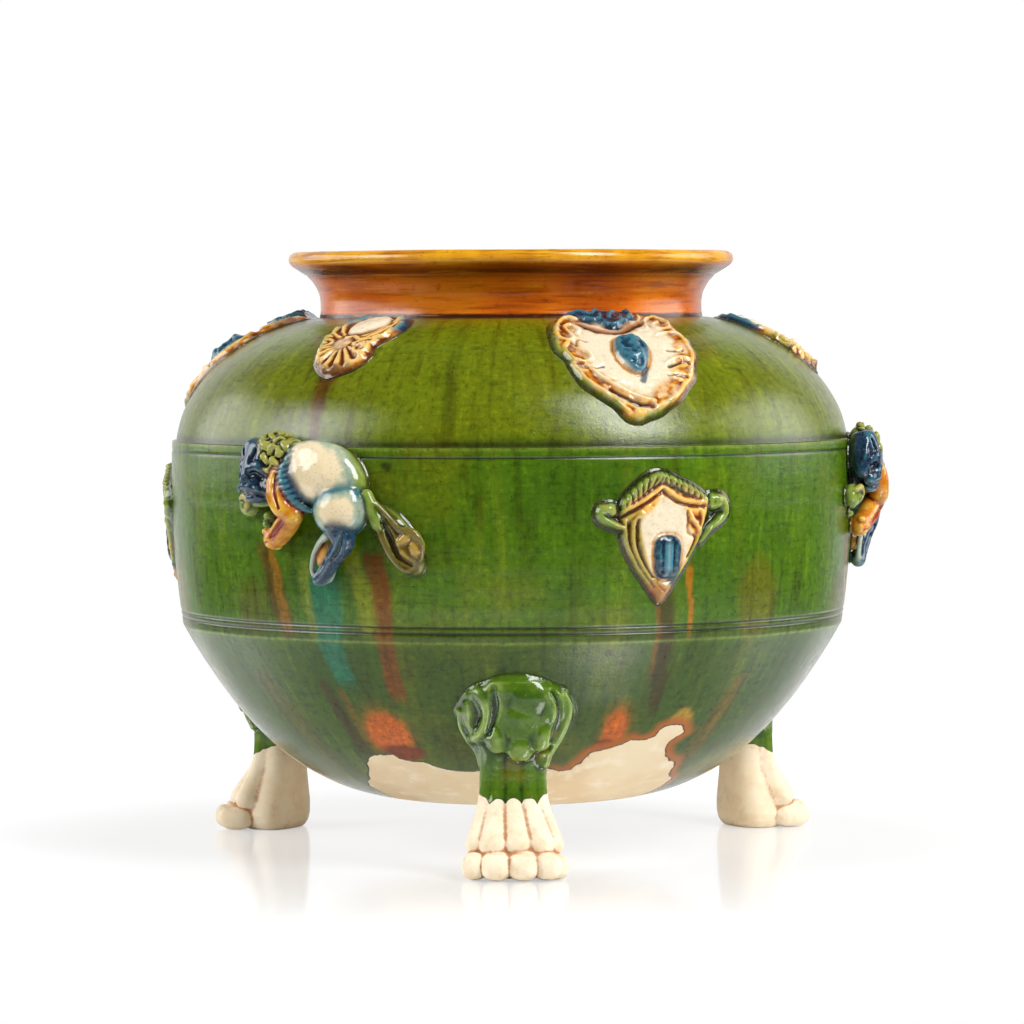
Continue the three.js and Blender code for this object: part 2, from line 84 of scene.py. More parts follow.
# Arithmetic
def ramp(low, high, value):
    """0 below low, 1 above high, and a smooth step between them."""
    share = np.clip((value - low) / (high - low), 0, 1)
    return share * share * (3 - 2 * share)


def hill(distance, spread):
    """1 at no distance and almost 0 at the spread."""
    return np.exp(-2.5 * (distance / spread) ** 2)


def mixed(first, second, share):
    """Two colours, or arrays of them, mixed by a share for each point."""
    share = np.asarray(share)[..., None]
    return np.asarray(first) * (1 - share) + np.asarray(second) * share


def painted(colour, *layers):
    """A colour under layers, each a colour and its share for each point."""
    for tint, share in layers:
        colour = mixed(colour, tint, share)
    return colour


def lump_noise(points, size, seed):
    """Smooth noise from -1 to 1 whose lumps are about as large as size."""
    place = points / size
    cell = np.floor(place).astype(np.int64)
    share = place - cell
    share = share * share * (3 - 2 * share)
    total = np.zeros(len(points))
    for corner in np.ndindex(2, 2, 2):
        at = cell + corner
        key = at[:, 0] * 73856093 ^ at[:, 1] * 19349663 ^ at[:, 2] * 83492791 ^ seed * 97531
        key = (key ^ key >> 13) * 1274126177 & 0x7FFFFFFF
        value = (key >> 8 & 0xFFFF) / 32767.5 - 1
        total += value * np.prod(np.where(corner, share, 1 - share), axis=1)
    return total


def rough_noise(points, size, seed, octaves=3):
    """Layers of lump noise, each half as large and half as strong as the one before."""
    layers = [lump_noise(points, size / 2**i, seed + i) / 2**i for i in range(octaves)]
    return sum(layers) / (2 - 2 ** (1 - octaves))


def bezier(points, count):
    """Points along a cubic Bezier curve."""
    t = np.linspace(0, 1, count)[:, None]
    a, b, c, d = np.array(points, float)
    return (1 - t) ** 3 * a + 3 * (1 - t) ** 2 * t * b + 3 * (1 - t) * t**2 * c + t**3 * d


def curve_through(points, each=8, closed=False):
    """A smooth line through a few points."""
    points = np.array(points, float)
    if closed:
        points = np.vstack([points[-1:], points, points[:2]])
    else:
        points = np.vstack([2 * points[0] - points[1], points, 2 * points[-1] - points[-2]])
    t = np.linspace(0, 1, each, endpoint=False)[:, None]
    spans = []
    for a, b, c, d in zip(points, points[1:], points[2:], points[3:]):
        square, cube = 2 * a - 5 * b + 4 * c - d, 3 * b - a - 3 * c + d
        spans.append(0.5 * (2 * b + (c - a) * t + square * t**2 + cube * t**3))
    if not closed:
        spans.append(points[-2:-1])
    return np.vstack(spans)


def closed_curve(points):
    return curve_through(points, each=4, closed=True)


# Profile of the thrown vessel
def smooth_profile(points, spread):
    """A profile with its corners eased over a spread, at half-millimetre steps."""
    lengths = np.concatenate([[0], np.cumsum(np.hypot(*np.diff(points, axis=0).T))])
    steps = np.arange(0, lengths[-1], 0.5)
    even = np.stack([np.interp(steps, lengths, points[:, k]) for k in (0, 1)], axis=1)
    if not spread:
        return steps, even
    reach = int(spread * 6)
    weights = np.exp(-0.5 * (np.arange(-reach, reach + 1) * 0.5 / spread) ** 2)
    padded = np.pad(even, ((reach, reach), (0, 0)), mode="reflect", reflect_type="odd")
    eased = [np.convolve(padded[:, k], weights / weights.sum(), mode="valid") for k in (0, 1)]
    return steps, np.stack(eased, axis=1)


UNDERSIDE_EDGE = (UNDERSIDE_RADIUS, UNDERSIDE_HEIGHT)
BOWL_RIM = (BOWL_RIM_RADIUS, BOWL_RIM_HEIGHT)
NECK_FOOT = (NECK_FOOT_RADIUS, NECK_FOOT_HEIGHT)
BOWL = bezier([UNDERSIDE_EDGE, (68, 16.5), (88, 38), BOWL_RIM], 160)
band_share = np.linspace(0, 1, 80)[:, None]
BAND = (
    (1 - band_share) ** 2 * BOWL_RIM
    + 2 * (1 - band_share) * band_share * [BAND_RADIUS + LEDGE_DEPTH, (BOWL_RIM_HEIGHT + LEDGE_HEIGHT) / 2]
    + band_share**2 * [BAND_RADIUS, LEDGE_HEIGHT]
)
SHOULDER = bezier([(BAND_RADIUS - LEDGE_DEPTH, LEDGE_HEIGHT), (107.5, 151), (88, 169), NECK_FOOT], 160)
PROFILE = np.vstack([BOWL, BAND[1:], SHOULDER])
PROFILE_LENGTHS, PROFILE_EVEN = smooth_profile(PROFILE, 0)
SKIN_LENGTHS, SKIN = smooth_profile(PROFILE, 1.2)
_, soft_skin = smooth_profile(PROFILE, 2.5)
skin_along = np.gradient(soft_skin, axis=0)
skin_along /= np.linalg.norm(skin_along, axis=1)[:, None]
LEDGE_LENGTH = np.interp(LEDGE_HEIGHT, SKIN[:, 1], SKIN_LENGTHS)
SKIN_END = SKIN_LENGTHS[-1]


def length_at(height):
    return np.interp(height, SKIN[:, 1], SKIN_LENGTHS)


def skin_radius(height):
    return np.interp(height, SKIN[:, 1], SKIN[:, 0])


def around(radius, azimuth, height):
    """Points from cylindrical coordinates."""
    turn = np.radians(azimuth)
    return np.stack([radius * np.sin(turn), -radius * np.cos(turn), height + 0 * turn], axis=-1)


def on_skin(anchor, u, v, h):
    """Points of the vessel's space from a sprig's own u, v and h."""
    azimuth, length = anchor
    at = [np.interp(length + v, SKIN_LENGTHS, column) for column in (*SKIN.T, *skin_along.T)]
    radius, height, along_out, along_up = at
    turn = azimuth + np.degrees(u / radius)
    return around(radius + h * along_up, turn, height - h * along_out)


def turned(points, degrees):
    c, s = np.cos(np.radians(degrees)), np.sin(np.radians(degrees))
    return points @ np.array([[c, s, 0], [-s, c, 0], [0, 0, 1]])


# Meshes
def mesh_object(name, points, face_sets, attributes, materials, slots=None):
    """A smooth mesh from points in millimetres, arrays of faces and values for each point."""
    mesh = bpy.data.meshes.new(name)
    corners = np.concatenate([faces.ravel() for faces in face_sets]).astype(np.int32)
    sizes = np.concatenate([np.full(len(faces), faces.shape[1]) for faces in face_sets])
    mesh.vertices.add(len(points))
    mesh.vertices.foreach_set("co", (points * MM).astype(np.float32).ravel())
    mesh.loops.add(len(corners))
    mesh.loops.foreach_set("vertex_index", corners)
    mesh.polygons.add(len(sizes))
    mesh.polygons.foreach_set("loop_start", (np.cumsum(sizes) - sizes).astype(np.int32))
    mesh.update(calc_edges=True)
    mesh.shade_smooth()
    for key, values in attributes.items():
        values = np.asarray(values, np.float32)
        if values.ndim == 1:
            mesh.attributes.new(key, "FLOAT", "POINT").data.foreach_set("value", values)
        else:
            colours = np.column_stack([values, np.ones(len(values), np.float32)])
            mesh.attributes.new(key, "FLOAT_COLOR", "POINT").data.foreach_set("color", colours.ravel())
    for material in materials:
        mesh.materials.append(material)
    if slots is not None:
        mesh.polygons.foreach_set("material_index", slots.astype(np.int32))
    piece = bpy.data.objects.new(name, mesh)
    bpy.context.scene.collection.objects.link(piece)
    return piece


def dress(piece, node):
    """The piece stands for a CAD node: it joins the root body and the node is hidden."""
    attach(piece, "root")
    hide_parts(node)


def rows_and_columns(rows, columns):
    """The row and the column of each point of a lathe's surface, and the azimuth of each column."""
    row, column = np.meshgrid(np.arange(rows), np.arange(columns), indexing="ij")
    return row.ravel(), column.ravel(), np.arange(columns) * 360 / columns - 180


def lathe_faces(rows, columns):
    """Quads between rings of points."""
    row, column, _ = rows_and_columns(rows - 1, columns)
    a = row * columns + column
    b = row * columns + (column + 1) % columns
    return np.stack([a, b, b + columns, a + columns], axis=-1)


def closed_faces(rows, columns):
    """Quads between rings, and fans that close the first and the last ring from two more points."""
    ring = np.arange(columns)
    after = (ring + 1) % columns
    end = rows * columns
    last = end - columns
    first_fan = np.stack([np.full(columns, end), after, ring], axis=1)
    last_fan = np.stack([np.full(columns, end + 1), last + ring, last + after], axis=1)
    return lathe_faces(rows, columns), np.vstack([first_fan, last_fan])


def vertex_normals(points, faces):
    a, b, c = (points[faces[:, k]] for k in range(3))
    flat = np.cross(b - a, c - a)
    total = np.zeros_like(points)
    for k in range(faces.shape[1]):
        for axis in range(3):
            total[:, axis] += np.bincount(faces[:, k], flat[:, axis], len(points))
    return total / np.maximum(np.linalg.norm(total, axis=1), 1e-9)[:, None]


def eased(values, faces, rounds):
    """Values for each point, averaged with their neighbours' a number of times."""
    ends = np.vstack([faces[:, [k, (k + 1) % faces.shape[1]]] for k in range(faces.shape[1])])
    first, second = np.concatenate([ends, ends[:, ::-1]]).T
    count = np.maximum(np.bincount(first, minlength=len(values)), 1)
    values = values.reshape(len(values), -1)
    for _ in range(rounds):
        sums = [np.bincount(first, column[second], len(values)) for column in values.T]
        values = 0.5 * (values + np.stack(sums, axis=1) / count[:, None])
    return values.squeeze()


def hollowness(points, faces, rounds=24):
    """How far each point lies below its surroundings, in millimetres; less than 0 on ridges."""
    normal = vertex_normals(points, faces)
    return np.sum((eased(points, faces, rounds) - points) * normal, axis=1)


def surface_net(field, low, high, step):
    """A closed mesh where a field of three coordinates passes 0; the field is less than 0 inside."""
    axes = [np.arange(a, b + step, step, dtype=np.float32) for a, b in zip(low, high)]
    grid = np.meshgrid(*axes, indexing="ij")
    value = field(grid)
    cells = tuple(n - 1 for n in value.shape)
    total = np.zeros((3, *cells), np.float32)
    count = np.zeros(cells, np.float32)
    crossings = []
    for axis in range(3):
        near = value.take(range(value.shape[axis] - 1), axis)
        far = value.take(range(1, value.shape[axis]), axis)
        crossed = (near < 0) != (far < 0)
        share = np.where(crossed, near / np.where(crossed, near - far, 1), 0)
        crossings.append((crossed, near < 0))
        others = [k for k in range(3) if k != axis]
        for shift in np.ndindex(2, 2):
            window = [slice(None)] * 3
            for k, s in zip(others, shift):
                window[k] = slice(s, s + cells[k])
            window = tuple(window)
            hit = crossed[window]
            count += hit
            total[axis] += share[window]
            for k, s in zip(others, shift):
                total[k] += hit * s
    used = count > 0
    index = np.full(cells, -1)
    index[used] = np.arange(used.sum())
    place = np.stack(np.nonzero(used), axis=1) + (total[:, used] / count[used]).T
    points = np.array(low) + place * step
    faces = []
    for axis, (crossed, starts_inside) in enumerate(crossings):
        others = [k for k in range(3) if k != axis]
        core = [slice(None)] * 3
        for k in others:
            core[k] = slice(1, -1)
        where = np.stack(np.nonzero(crossed[tuple(core)]), axis=1)
        where[:, others] += 1
        corners = []
        for shift in ((-1, -1), (0, -1), (0, 0), (-1, 0)):
            at = where.copy()
            at[:, others] += shift
            corners.append(index[tuple(at.T)])
        quads = np.stack(corners, axis=1)
        flip = starts_inside[tuple(where.T)] == (axis == 1)
        quads[flip] = quads[flip][:, ::-1]
        faces.append(quads)
    return points, np.vstack(faces)


# Fields
FAR = 9.0


def near_only(place, low, high, field, margin=3.5):
    """A field worked out near its form only, and far away everywhere else."""
    near = np.ones(place[0].shape, bool)
    for axis, a, b in zip(place, low, high):
        near &= (axis > a - margin) & (axis < b + margin)
    distance = np.full(place[0].shape, FAR)
    distance[near] = field([axis[near] for axis in place])
    return distance


def egg(place, centre, radii, turn=0, power=2):
    """About the distance to an ellipsoid, or with more power a rounded block, turned in the first plane."""
    c, s = np.cos(np.radians(turn)), np.sin(np.radians(turn))

    def field(near_place):
        u, v, h = (a - m for a, m in zip(near_place, centre))
        shares = [np.abs(a) / r for a, r in zip((u * c + v * s, v * c - u * s, h), radii)]
        near = np.maximum(sum(q**power for q in shares), 1e-6) ** (1 / power)
        steepness = np.sqrt(sum((q ** (power - 1) / r) ** 2 for q, r in zip(shares, radii)))
        return (near - 1) / np.maximum(steepness / near ** (power - 1), 1e-6)

    reach = max(radii[:2]) if turn else 0
    low = [m - max(r, reach * (k < 2)) for k, (m, r) in enumerate(zip(centre, radii))]
    high = [m + max(r, reach * (k < 2)) for k, (m, r) in enumerate(zip(centre, radii))]
    return near_only(place, low, high, field)


def rod(place, path, radii):
    """Distance to a rod along a path, of one radius or with a radius at each point of the path."""
    path = np.array(path, float)
    radii = np.full(len(path), radii, float)
    if len(path) > 2:
        bent = curve_through(np.column_stack([path, radii]), each=4)
        path, radii = bent[:, :-1], bent[:, -1]

    def field(near_place):
        nearest = None
        for a, b, near, far in zip(path, path[1:], radii, radii[1:]):
            along = b - a
            offset = [p - q for p, q in zip(near_place, a)]
            share = np.clip(sum(o * d for o, d in zip(offset, along)) / max(along @ along, 1e-9), 0, 1)
            square = sum((o - d * share) ** 2 for o, d in zip(offset, along))
            distance = np.sqrt(square) - (near + (far - near) * share)
            nearest = distance if nearest is None else np.minimum(nearest, distance)
        return nearest

    return near_only(place, path.min(axis=0) - radii.max(), path.max(axis=0) + radii.max(), field)


def form(place, where, radii, turn=0):
    """A rod where a path is given, and else an egg round a centre."""
    return rod(place, where, radii) if np.ndim(where) == 2 else egg(place, where, radii, turn)


def joined(distances, softness):
    """The union of fields, run together over a softness."""
    whole = distances[0]
    for other in distances[1:]:
        share = np.clip(0.5 + 0.5 * (other - whole) / softness, 0, 1)
        whole = other + (whole - other) * share - softness * share * (1 - share)
    return whole


def carved(whole, cut, softness):
    return -joined([-whole, cut], softness)


def line_distance(u, v, line, closed=False):
    """Distance in the plane from each place to a line of points."""
    line = np.asarray(line, float)
    ends = np.roll(line, -1, axis=0) if closed else line[1:]
    nearest = np.full(u.shape, 1e9)
    for a, b in zip(line, ends):
        along = b - a
        off_u, off_v = u - a[0], v - a[1]
        share = np.clip((off_u * along[0] + off_v * along[1]) / max(along @ along, 1e-9), 0, 1)
        square = (off_u - along[0] * share) ** 2 + (off_v - along[1] * share) ** 2
        nearest = np.minimum(nearest, square)
    return np.sqrt(nearest)


def depth_inside(u, v, outline):
    """Distance to a closed outline, more than 0 inside it."""
    inside = np.zeros(u.shape, bool)
    for (u1, v1), (u2, v2) in zip(outline, np.roll(outline, -1, axis=0)):
        if v1 != v2:
            inside ^= ((v1 > v) != (v2 > v)) & (u < (u2 - u1) * (v - v1) / (v2 - v1) + u1)
    return np.where(inside, 1, -1) * line_distance(u, v, outline, closed=True)


def oval(u, v, centre, radii, turn=0):
    """0 at an oval's centre and 1 at its edge."""
    u, v = u - centre[0], v - centre[1]
    c, s = np.cos(np.radians(turn)), np.sin(np.radians(turn))
    return np.hypot((u * c + v * s) / radii[0], (v * c - u * s) / radii[1])


# Materials
GLAZE_IOR = 1.5


class Nodes:
    """Adds nodes to a new material's or world's tree and joins them."""

    def __init__(self, name, owners=None):
        self.owner = (bpy.data.materials if owners is None else owners).new(name)
        self.owner.use_nodes = True
        self.tree = self.owner.node_tree
        self.tree.nodes.clear()

    def add(self, kind, inputs=None, **settings):
        node = self.tree.nodes.new(kind)
        for key, value in settings.items():
            setattr(node, key, value)
        for key, value in (inputs or {}).items():
            self.feed(node.inputs[key], value)
        return node

    def feed(self, socket, value):
        if isinstance(value, bpy.types.NodeSocket):
            self.tree.links.new(value, socket)
        elif socket.type == "RGBA" and len(value) == 3:
            socket.default_value = (*value, 1)
        else:
            socket.default_value = value

    def value(self, name, kind="Fac"):
        return self.add("ShaderNodeAttribute", attribute_name=name).outputs[kind]

    def place(self, scale=(1, 1, 1)):
        where = self.add("ShaderNodeTexCoord").outputs["Object"]
        return self.add("ShaderNodeMapping", {"Vector": where, "Scale": scale}).outputs[0]

    def noise(self, vector, scale, detail=3, roughness=0.55):
        inputs = {"Vector": vector, "Scale": scale, "Detail": detail, "Roughness": roughness}
        return self.add("ShaderNodeTexNoise", inputs).outputs["Fac"]

    def cells(self, vector, scale, feature="F1"):
        kind = {"Vector": vector, "Scale": scale}
        return self.add("ShaderNodeTexVoronoi", kind, feature=feature).outputs["Distance"]

    def ramp(self, value, low, high, to_low=0, to_high=1):
        inputs = {"Value": value, "From Min": low, "From Max": high, "To Min": to_low, "To Max": to_high}
        return self.add("ShaderNodeMapRange", inputs, interpolation_type="SMOOTHSTEP").outputs["Result"]

    def math(self, operation, first, second):
        return self.add("ShaderNodeMath", {0: first, 1: second}, operation=operation).outputs[0]

    def times(self, first, second):
        return self.math("MULTIPLY", first, second)

    def blend(self, share, first, second):
        """A number between two others."""
        return self.add("ShaderNodeMix", {0: share, 2: first, 3: second}, data_type="FLOAT").outputs[0]

    def mix(self, first, second, share, blend="MIX"):
        node = self.add("ShaderNodeMix", data_type="RGBA", blend_type=blend)
        self.feed(node.inputs[0], share)
        self.feed(node.inputs[6], first)
        self.feed(node.inputs[7], second)
        return node.outputs[2]

    def tinted(self, colour, tint, share):
        return self.mix(colour, tint, share, "MULTIPLY")

    def bump(self, height, distance, normal=None):
        inputs = {"Height": height, "Distance": distance, "Strength": 1}
        if normal is not None:
            inputs["Normal"] = normal
        return self.add("ShaderNodeBump", inputs).outputs["Normal"]

    def finish(self, shader, output="ShaderNodeOutputMaterial"):
        self.add(output, {"Surface": shader})
        return self.owner

    def finish_surface(self, colour, roughness, normal, ior=GLAZE_IOR):
        """Ends the material as one plain surface."""
        inputs = {"Base Color": colour, "Roughness": roughness, "Normal": normal, "IOR": ior}
        return self.finish(self.add("ShaderNodeBsdfPrincipled", inputs).outputs[0])


def glaze_bump(nodes, place, run_place, grain=0.00002):
    """The skin of a fluid glaze: slow waves, fine grain, pinholes and the clay's turning marks below."""
    waves = nodes.bump(nodes.noise(place, 90, 2), 0.00009)
    ripple = nodes.bump(nodes.noise(place, 1400, 4, 0.7), grain, waves)
    pins = nodes.ramp(nodes.cells(place, 420), 0.04, 0.12)
    pinholes = nodes.bump(pins, 0.00004, ripple)
    return nodes.bump(nodes.noise(run_place, 700, 2), 0.00002, pinholes)


def clay_colour(nodes, place):
    """Bare fired clay: warm buff with smears, rust specks and pale scuffs."""
    tone = nodes.mix((0.86, 0.72, 0.50), (0.78, 0.60, 0.38), nodes.ramp(nodes.noise(place, 40, 4), 0.35, 0.7))
    pale = nodes.mix(tone, (0.93, 0.83, 0.65), nodes.ramp(nodes.noise(place, 130, 4), 0.5, 0.75))
    specks = nodes.ramp(nodes.cells(place, 300), 0.05, 0.12, 1, 0)
    chosen = nodes.times(specks, nodes.ramp(nodes.noise(place, 60, 2), 0.55, 0.62))
    return nodes.mix(pale, (0.42, 0.20, 0.08), nodes.times(chosen, 0.7))


def vessel_glaze(name):
    """Runny glaze over clay that stays bare below its lower edge."""
    nodes = Nodes(name)
    place = nodes.place()
    run_place = nodes.value("run_place", "Vector")
    turn_place = nodes.place((0.12, 0.12, 1))
    colour = nodes.value("glaze_colour", "Color")
    streak = nodes.noise(run_place, 260, 4, 0.6)
    browned = nodes.tinted(colour, (0.45, 0.30, 0.06), 1)
    colour = nodes.mix(colour, browned, nodes.ramp(streak, 0.5, 0.74, 0, 0.6))
    pale = nodes.tinted(colour, (1.9, 1.7, 1.5), nodes.ramp(streak, 0.46, 0.28, 0, 0.50))
    mottle = nodes.noise(place, 520, 4, 0.65)
    dark = nodes.tinted(pale, (0.40, 0.48, 0.28), nodes.ramp(mottle, 0.50, 0.70, 0, 0.70))
    light = nodes.tinted(dark, (1.8, 1.7, 1.6), nodes.ramp(mottle, 0.46, 0.30, 0, 0.50))
    pits = nodes.ramp(nodes.cells(place, 430), 0.05, 0.13, 1, 0)
    some = nodes.ramp(nodes.noise(place, 75, 3), 0.46, 0.56)
    pitted = nodes.mix(light, (0.008, 0.010, 0.002), nodes.times(nodes.times(pits, some), 0.85))
    turning = nodes.noise(turn_place, 900, 2)
    lined = nodes.tinted(pitted, (0.55, 0.6, 0.45), nodes.ramp(turning, 0.54, 0.7, 0, 0.5))

    waver = nodes.times(nodes.math("SUBTRACT", nodes.noise(place, 190, 4, 0.6), 0.5), 3.2)
    cover = nodes.math("ADD", nodes.value("cover"), waver)
    glazed = nodes.ramp(cover, -0.10, 0.10)
    near_edge = nodes.times(nodes.ramp(cover, 1.0, 5.0, 1, 0), nodes.value("thin_edge"))
    thin = nodes.mix(lined, (0.42, 0.115, 0.012), nodes.times(near_edge, 0.92))
    rim = nodes.ramp(cover, 0.2, 0.9, 1, 0)
    rimmed = nodes.tinted(thin, (0.16, 0.11, 0.09), nodes.times(rim, 0.85))
    base = nodes.mix(clay_colour(nodes, place), rimmed, glazed)

    skin = glaze_bump(nodes, place, turn_place, 0.00007)
    normal = nodes.bump(nodes.ramp(cover, -0.15, 0.6), 0.00035, skin)
    wear = nodes.ramp(nodes.noise(place, 300, 4, 0.7), 0.3, 0.7, 0.11, 0.24)
    roughness = nodes.blend(glazed, 0.8, wear)
    return nodes.finish_surface(base, roughness, normal, 1.48)


def sprig_glaze(name):
    """Glazes dabbed on a moulded sprig: glassy, with fine crackle and colour that breaks into specks."""
    nodes = Nodes(name)
    place = nodes.place()
    colour = nodes.value("glaze_colour", "Color")
    mottle = nodes.noise(place, 1300, 3, 0.6)
    shade = nodes.tinted(colour, (0.45, 0.40, 0.36), 1)
    darker = nodes.mix(colour, shade, nodes.ramp(mottle, 0.52, 0.8, 0, 0.6))
    lighter = nodes.mix(darker, (0.86, 0.74, 0.46), nodes.ramp(mottle, 0.38, 0.2, 0, 0.25))
    crackle = nodes.ramp(nodes.cells(place, 520, "DISTANCE_TO_EDGE"), 0.0, 0.035, 1, 0)
    crazed = nodes.mix(lighter, (0.50, 0.33, 0.16), nodes.times(crackle, 0.16))
    normal = glaze_bump(nodes, place, place)
    rough = nodes.ramp(nodes.noise(place, 150, 2), 0.3, 0.7, 0.05, 0.10)
    return nodes.finish_surface(crazed, rough, normal)


def bare_clay(name):
    """The unglazed inside of the vessel, with turning marks."""
    nodes = Nodes(name)
    place = nodes.place()
    turn_place = nodes.place((0.1, 0.1, 1))
    marks = nodes.bump(nodes.noise(turn_place, 300, 3), 0.0003)
    grain = nodes.bump(nodes.noise(place, 1500, 3), 0.00005, marks)
    return nodes.finish_surface(clay_colour(nodes, place), 0.85, grain)


# The thrown vessel
def wrapped(azimuth):
    """An azimuth from -180 to 180."""
    return (azimuth + 180) % 360 - 180


def fine_lengths(features, total, coarse=0.8, fine=0.16, reach=1.8):
    """Lengths along a profile, close together near its features."""
    near = [np.arange(f - reach, f + reach, fine) for f in features]
    lengths = np.concatenate([np.arange(0, total, coarse), [total], *near])
    return np.unique(np.round(np.clip(lengths, 0, total), 2))


LOW_LINES = (75.4, 77.3)
TOP_LINE = 129.2
LINE_DEPTH = 0.25
LINE_WIDTH = 0.62


def line_shade(height):
    """1 in the incised lines and at the foot of the ledge."""
    shade = sum(hill(height - line, LINE_WIDTH) for line in (*LOW_LINES, TOP_LINE))
    return np.clip(shade, 0, 1)


# The bare clay behind a leg, where the pot was held to dip it, as azimuths and heights
BARE_ZONE = [
    (-48, 15), (-46.8, 19), (-45.9, 20.6), (-46.2, 22.5), (-44.4, 24.5), (-41.2, 26), (-38.9, 28.6),
    (-36.7, 31.7), (-34.2, 34.2), (-31.4, 35.2), (-27.9, 35.2), (-26.8, 33.9), (-23.8, 32.9), (-20.6, 32.7),
    (-18.1, 31.6), (-16.2, 30.9), (-13.2, 30), (-9.9, 30.1), (0, 31), (8.3, 31), (11.4, 29.9), (13.8, 30.4),
    (15.6, 32.7), (17.2, 36.1), (19.9, 37.3), (22.7, 38.3), (25.7, 40), (27.5, 39.3), (29.5, 39.7),
    (31.2, 41.3), (32, 43.4), (34.3, 44.9), (36.4, 43.9), (38.3, 41.7), (36.8, 40.2), (35.5, 39.2),
    (35.5, 37), (37, 34), (39.9, 31.7), (42.3, 31), (43.3, 29.4), (44.1, 27.6), (46, 25.7), (48.8, 24.8),
    (50.2, 22.2), (50.9, 20.2), (52, 15),
]
BARE_FOOT_HEIGHT = 18
ZONE_SCALE = 1.4


def bare_distance(azimuth, height):
    """Distance from the glaze's lower edge in millimetres, more than 0 where the clay is glazed."""
    zone_azimuth, zone_height = np.array(BARE_ZONE).T
    sector = np.round(azimuth / THIRD)
    local = azimuth - sector * THIRD
    local = np.where(sector == 0, local, 4 - local * 0.93)
    length = length_at(np.maximum(height, UNDERSIDE_HEIGHT))
    outline = np.column_stack([zone_azimuth * ZONE_SCALE, length_at(zone_height)])
    low = height < zone_height.max() + 15
    away = np.full(len(azimuth), 20.0)
    away[low] = -depth_inside(local[low] * ZONE_SCALE, length[low], outline)
    return np.minimum(away, length - length_at(BARE_FOOT_HEIGHT))


def run_of_glaze(azimuth, height, path, widths, radius):
    """How strongly a run shows: a path of (azimuth, height) from the top down, and half widths along it."""
    at, heights = np.array(path, float).T
    centre = np.interp(-height, -heights, at)
    width = np.interp(-height, -heights, widths)
    off = np.abs(wrapped(azimuth - centre)) * np.pi / 180 * radius
    low, high = heights[-1], heights[0]
    ends = ramp(low - 4, low + 2, height) * ramp(high + 2, high - 1, height)
    return (1 - ramp(width * 0.55, width * 1.25, off)) * ends


RUNS = [
    # path, half widths, colour, strength
    ([(-34.6, 156), (-34.9, 152), (-34.2, 143), (-33.2, 131)], (4.8, 3.4, 2.1, 1.8),
     (0.085, 0.022, 0.003), 0.95),
    ([(-44, 102), (-42, 88), (-40, 74)], (4.0, 5.0, 3.4), (0.085, 0.046, 0.003), 1.0),
    ([(-42.5, 100), (-41, 86), (-40, 76)], (1.6, 2.2, 1.6), (0.30, 0.13, 0.004), 0.8),
    ([(-31.8, 96), (-31.5, 80), (-31, 60)], (5.4, 6.0, 3.6), (0.016, 0.150, 0.080), 1.0),
    ([(-35.6, 96), (-35.2, 84), (-34.6, 74)], (1.8, 2.0, 1.6), (0.16, 0.20, 0.020), 0.7),
    ([(-22.6, 100), (-21.8, 84), (-21, 56)], (3.8, 4.0, 3.2), (0.17, 0.050, 0.003), 1.0),
    ([(-27.0, 104), (-25.5, 92), (-24, 76)], (2.8, 3.2, 3.4), (0.22, 0.24, 0.010), 0.8),
    ([(24.6, 89), (26, 72), (27.2, 50)], (3.4, 3.6, 2.2), (0.045, 0.026, 0.004), 0.95),
    ([(23.4, 87), (24.2, 74), (24.8, 62)], (1.0, 0.9, 0.6), (0.20, 0.060, 0.004), 0.7),
    ([(29.4, 95), (29.8, 86), (30.4, 75)], (1.6, 1.1, 0.8), (0.40, 0.14, 0.005), 0.95),
    ([(-36.5, 60), (-35, 46), (-34.5, 35)], (1.8, 2.6, 3.4), (0.050, 0.024, 0.003), 0.85),
    ([(-33.0, 56), (-32, 46), (-31, 36)], (1.4, 1.8, 2.2), (0.14, 0.075, 0.003), 0.8),
    ([(-52, 60), (-50, 46), (-48, 30)], (5.0, 6.0, 5.0), (0.085, 0.066, 0.004), 0.6),
    ([(46, 60), (45, 46), (44, 30)], (3.0, 4.0, 4.0), (0.17, 0.085, 0.004), 0.6),
]

PATCHES = [
    # centre azimuth and height, half sizes, colour, strength
    ((-26.5, 43.0), (10.4, 10.6), (0.14, 0.105, 0.003), 0.85),
    ((-26.5, 42.0), (7.6, 8.0), (0.50, 0.105, 0.006), 1.0),
    ((-24.5, 36.2), (7.6, 3.2), (0.16, 0.026, 0.002), 0.95),
    ((20.8, 45.0), (6.2, 9.8), (0.15, 0.105, 0.003), 0.85),
    ((20.6, 44.0), (4.4, 7.4), (0.52, 0.115, 0.007), 1.0),
    ((19.8, 38.8), (4.8, 2.6), (0.18, 0.028, 0.002), 0.95),
    ((35.5, 46.5), (5.0, 3.4), (0.40, 0.24, 0.02), 0.8),
    ((-19.7, 126.8), (1.6, 1.6), (0.02, 0.02, 0.004), 0.8),
    ((16.4, 68.7), (1.6, 1.3), (0.02, 0.02, 0.004), 0.8),
    ((-41, 166), (10, 5), (0.13, 0.12, 0.003), 0.8),
    ((41, 164), (10, 6), (0.14, 0.13, 0.003), 0.8),
    ((-48, 82), (9, 10), (0.095, 0.080, 0.004), 0.5),
    ((44, 84), (9, 14), (0.13, 0.105, 0.005), 0.6),
    ((8, 152), (20, 8), (0.14, 0.16, 0.004), 0.4),
    ((-8, 40), (14, 7), (0.055, 0.085, 0.008), 0.5),
]


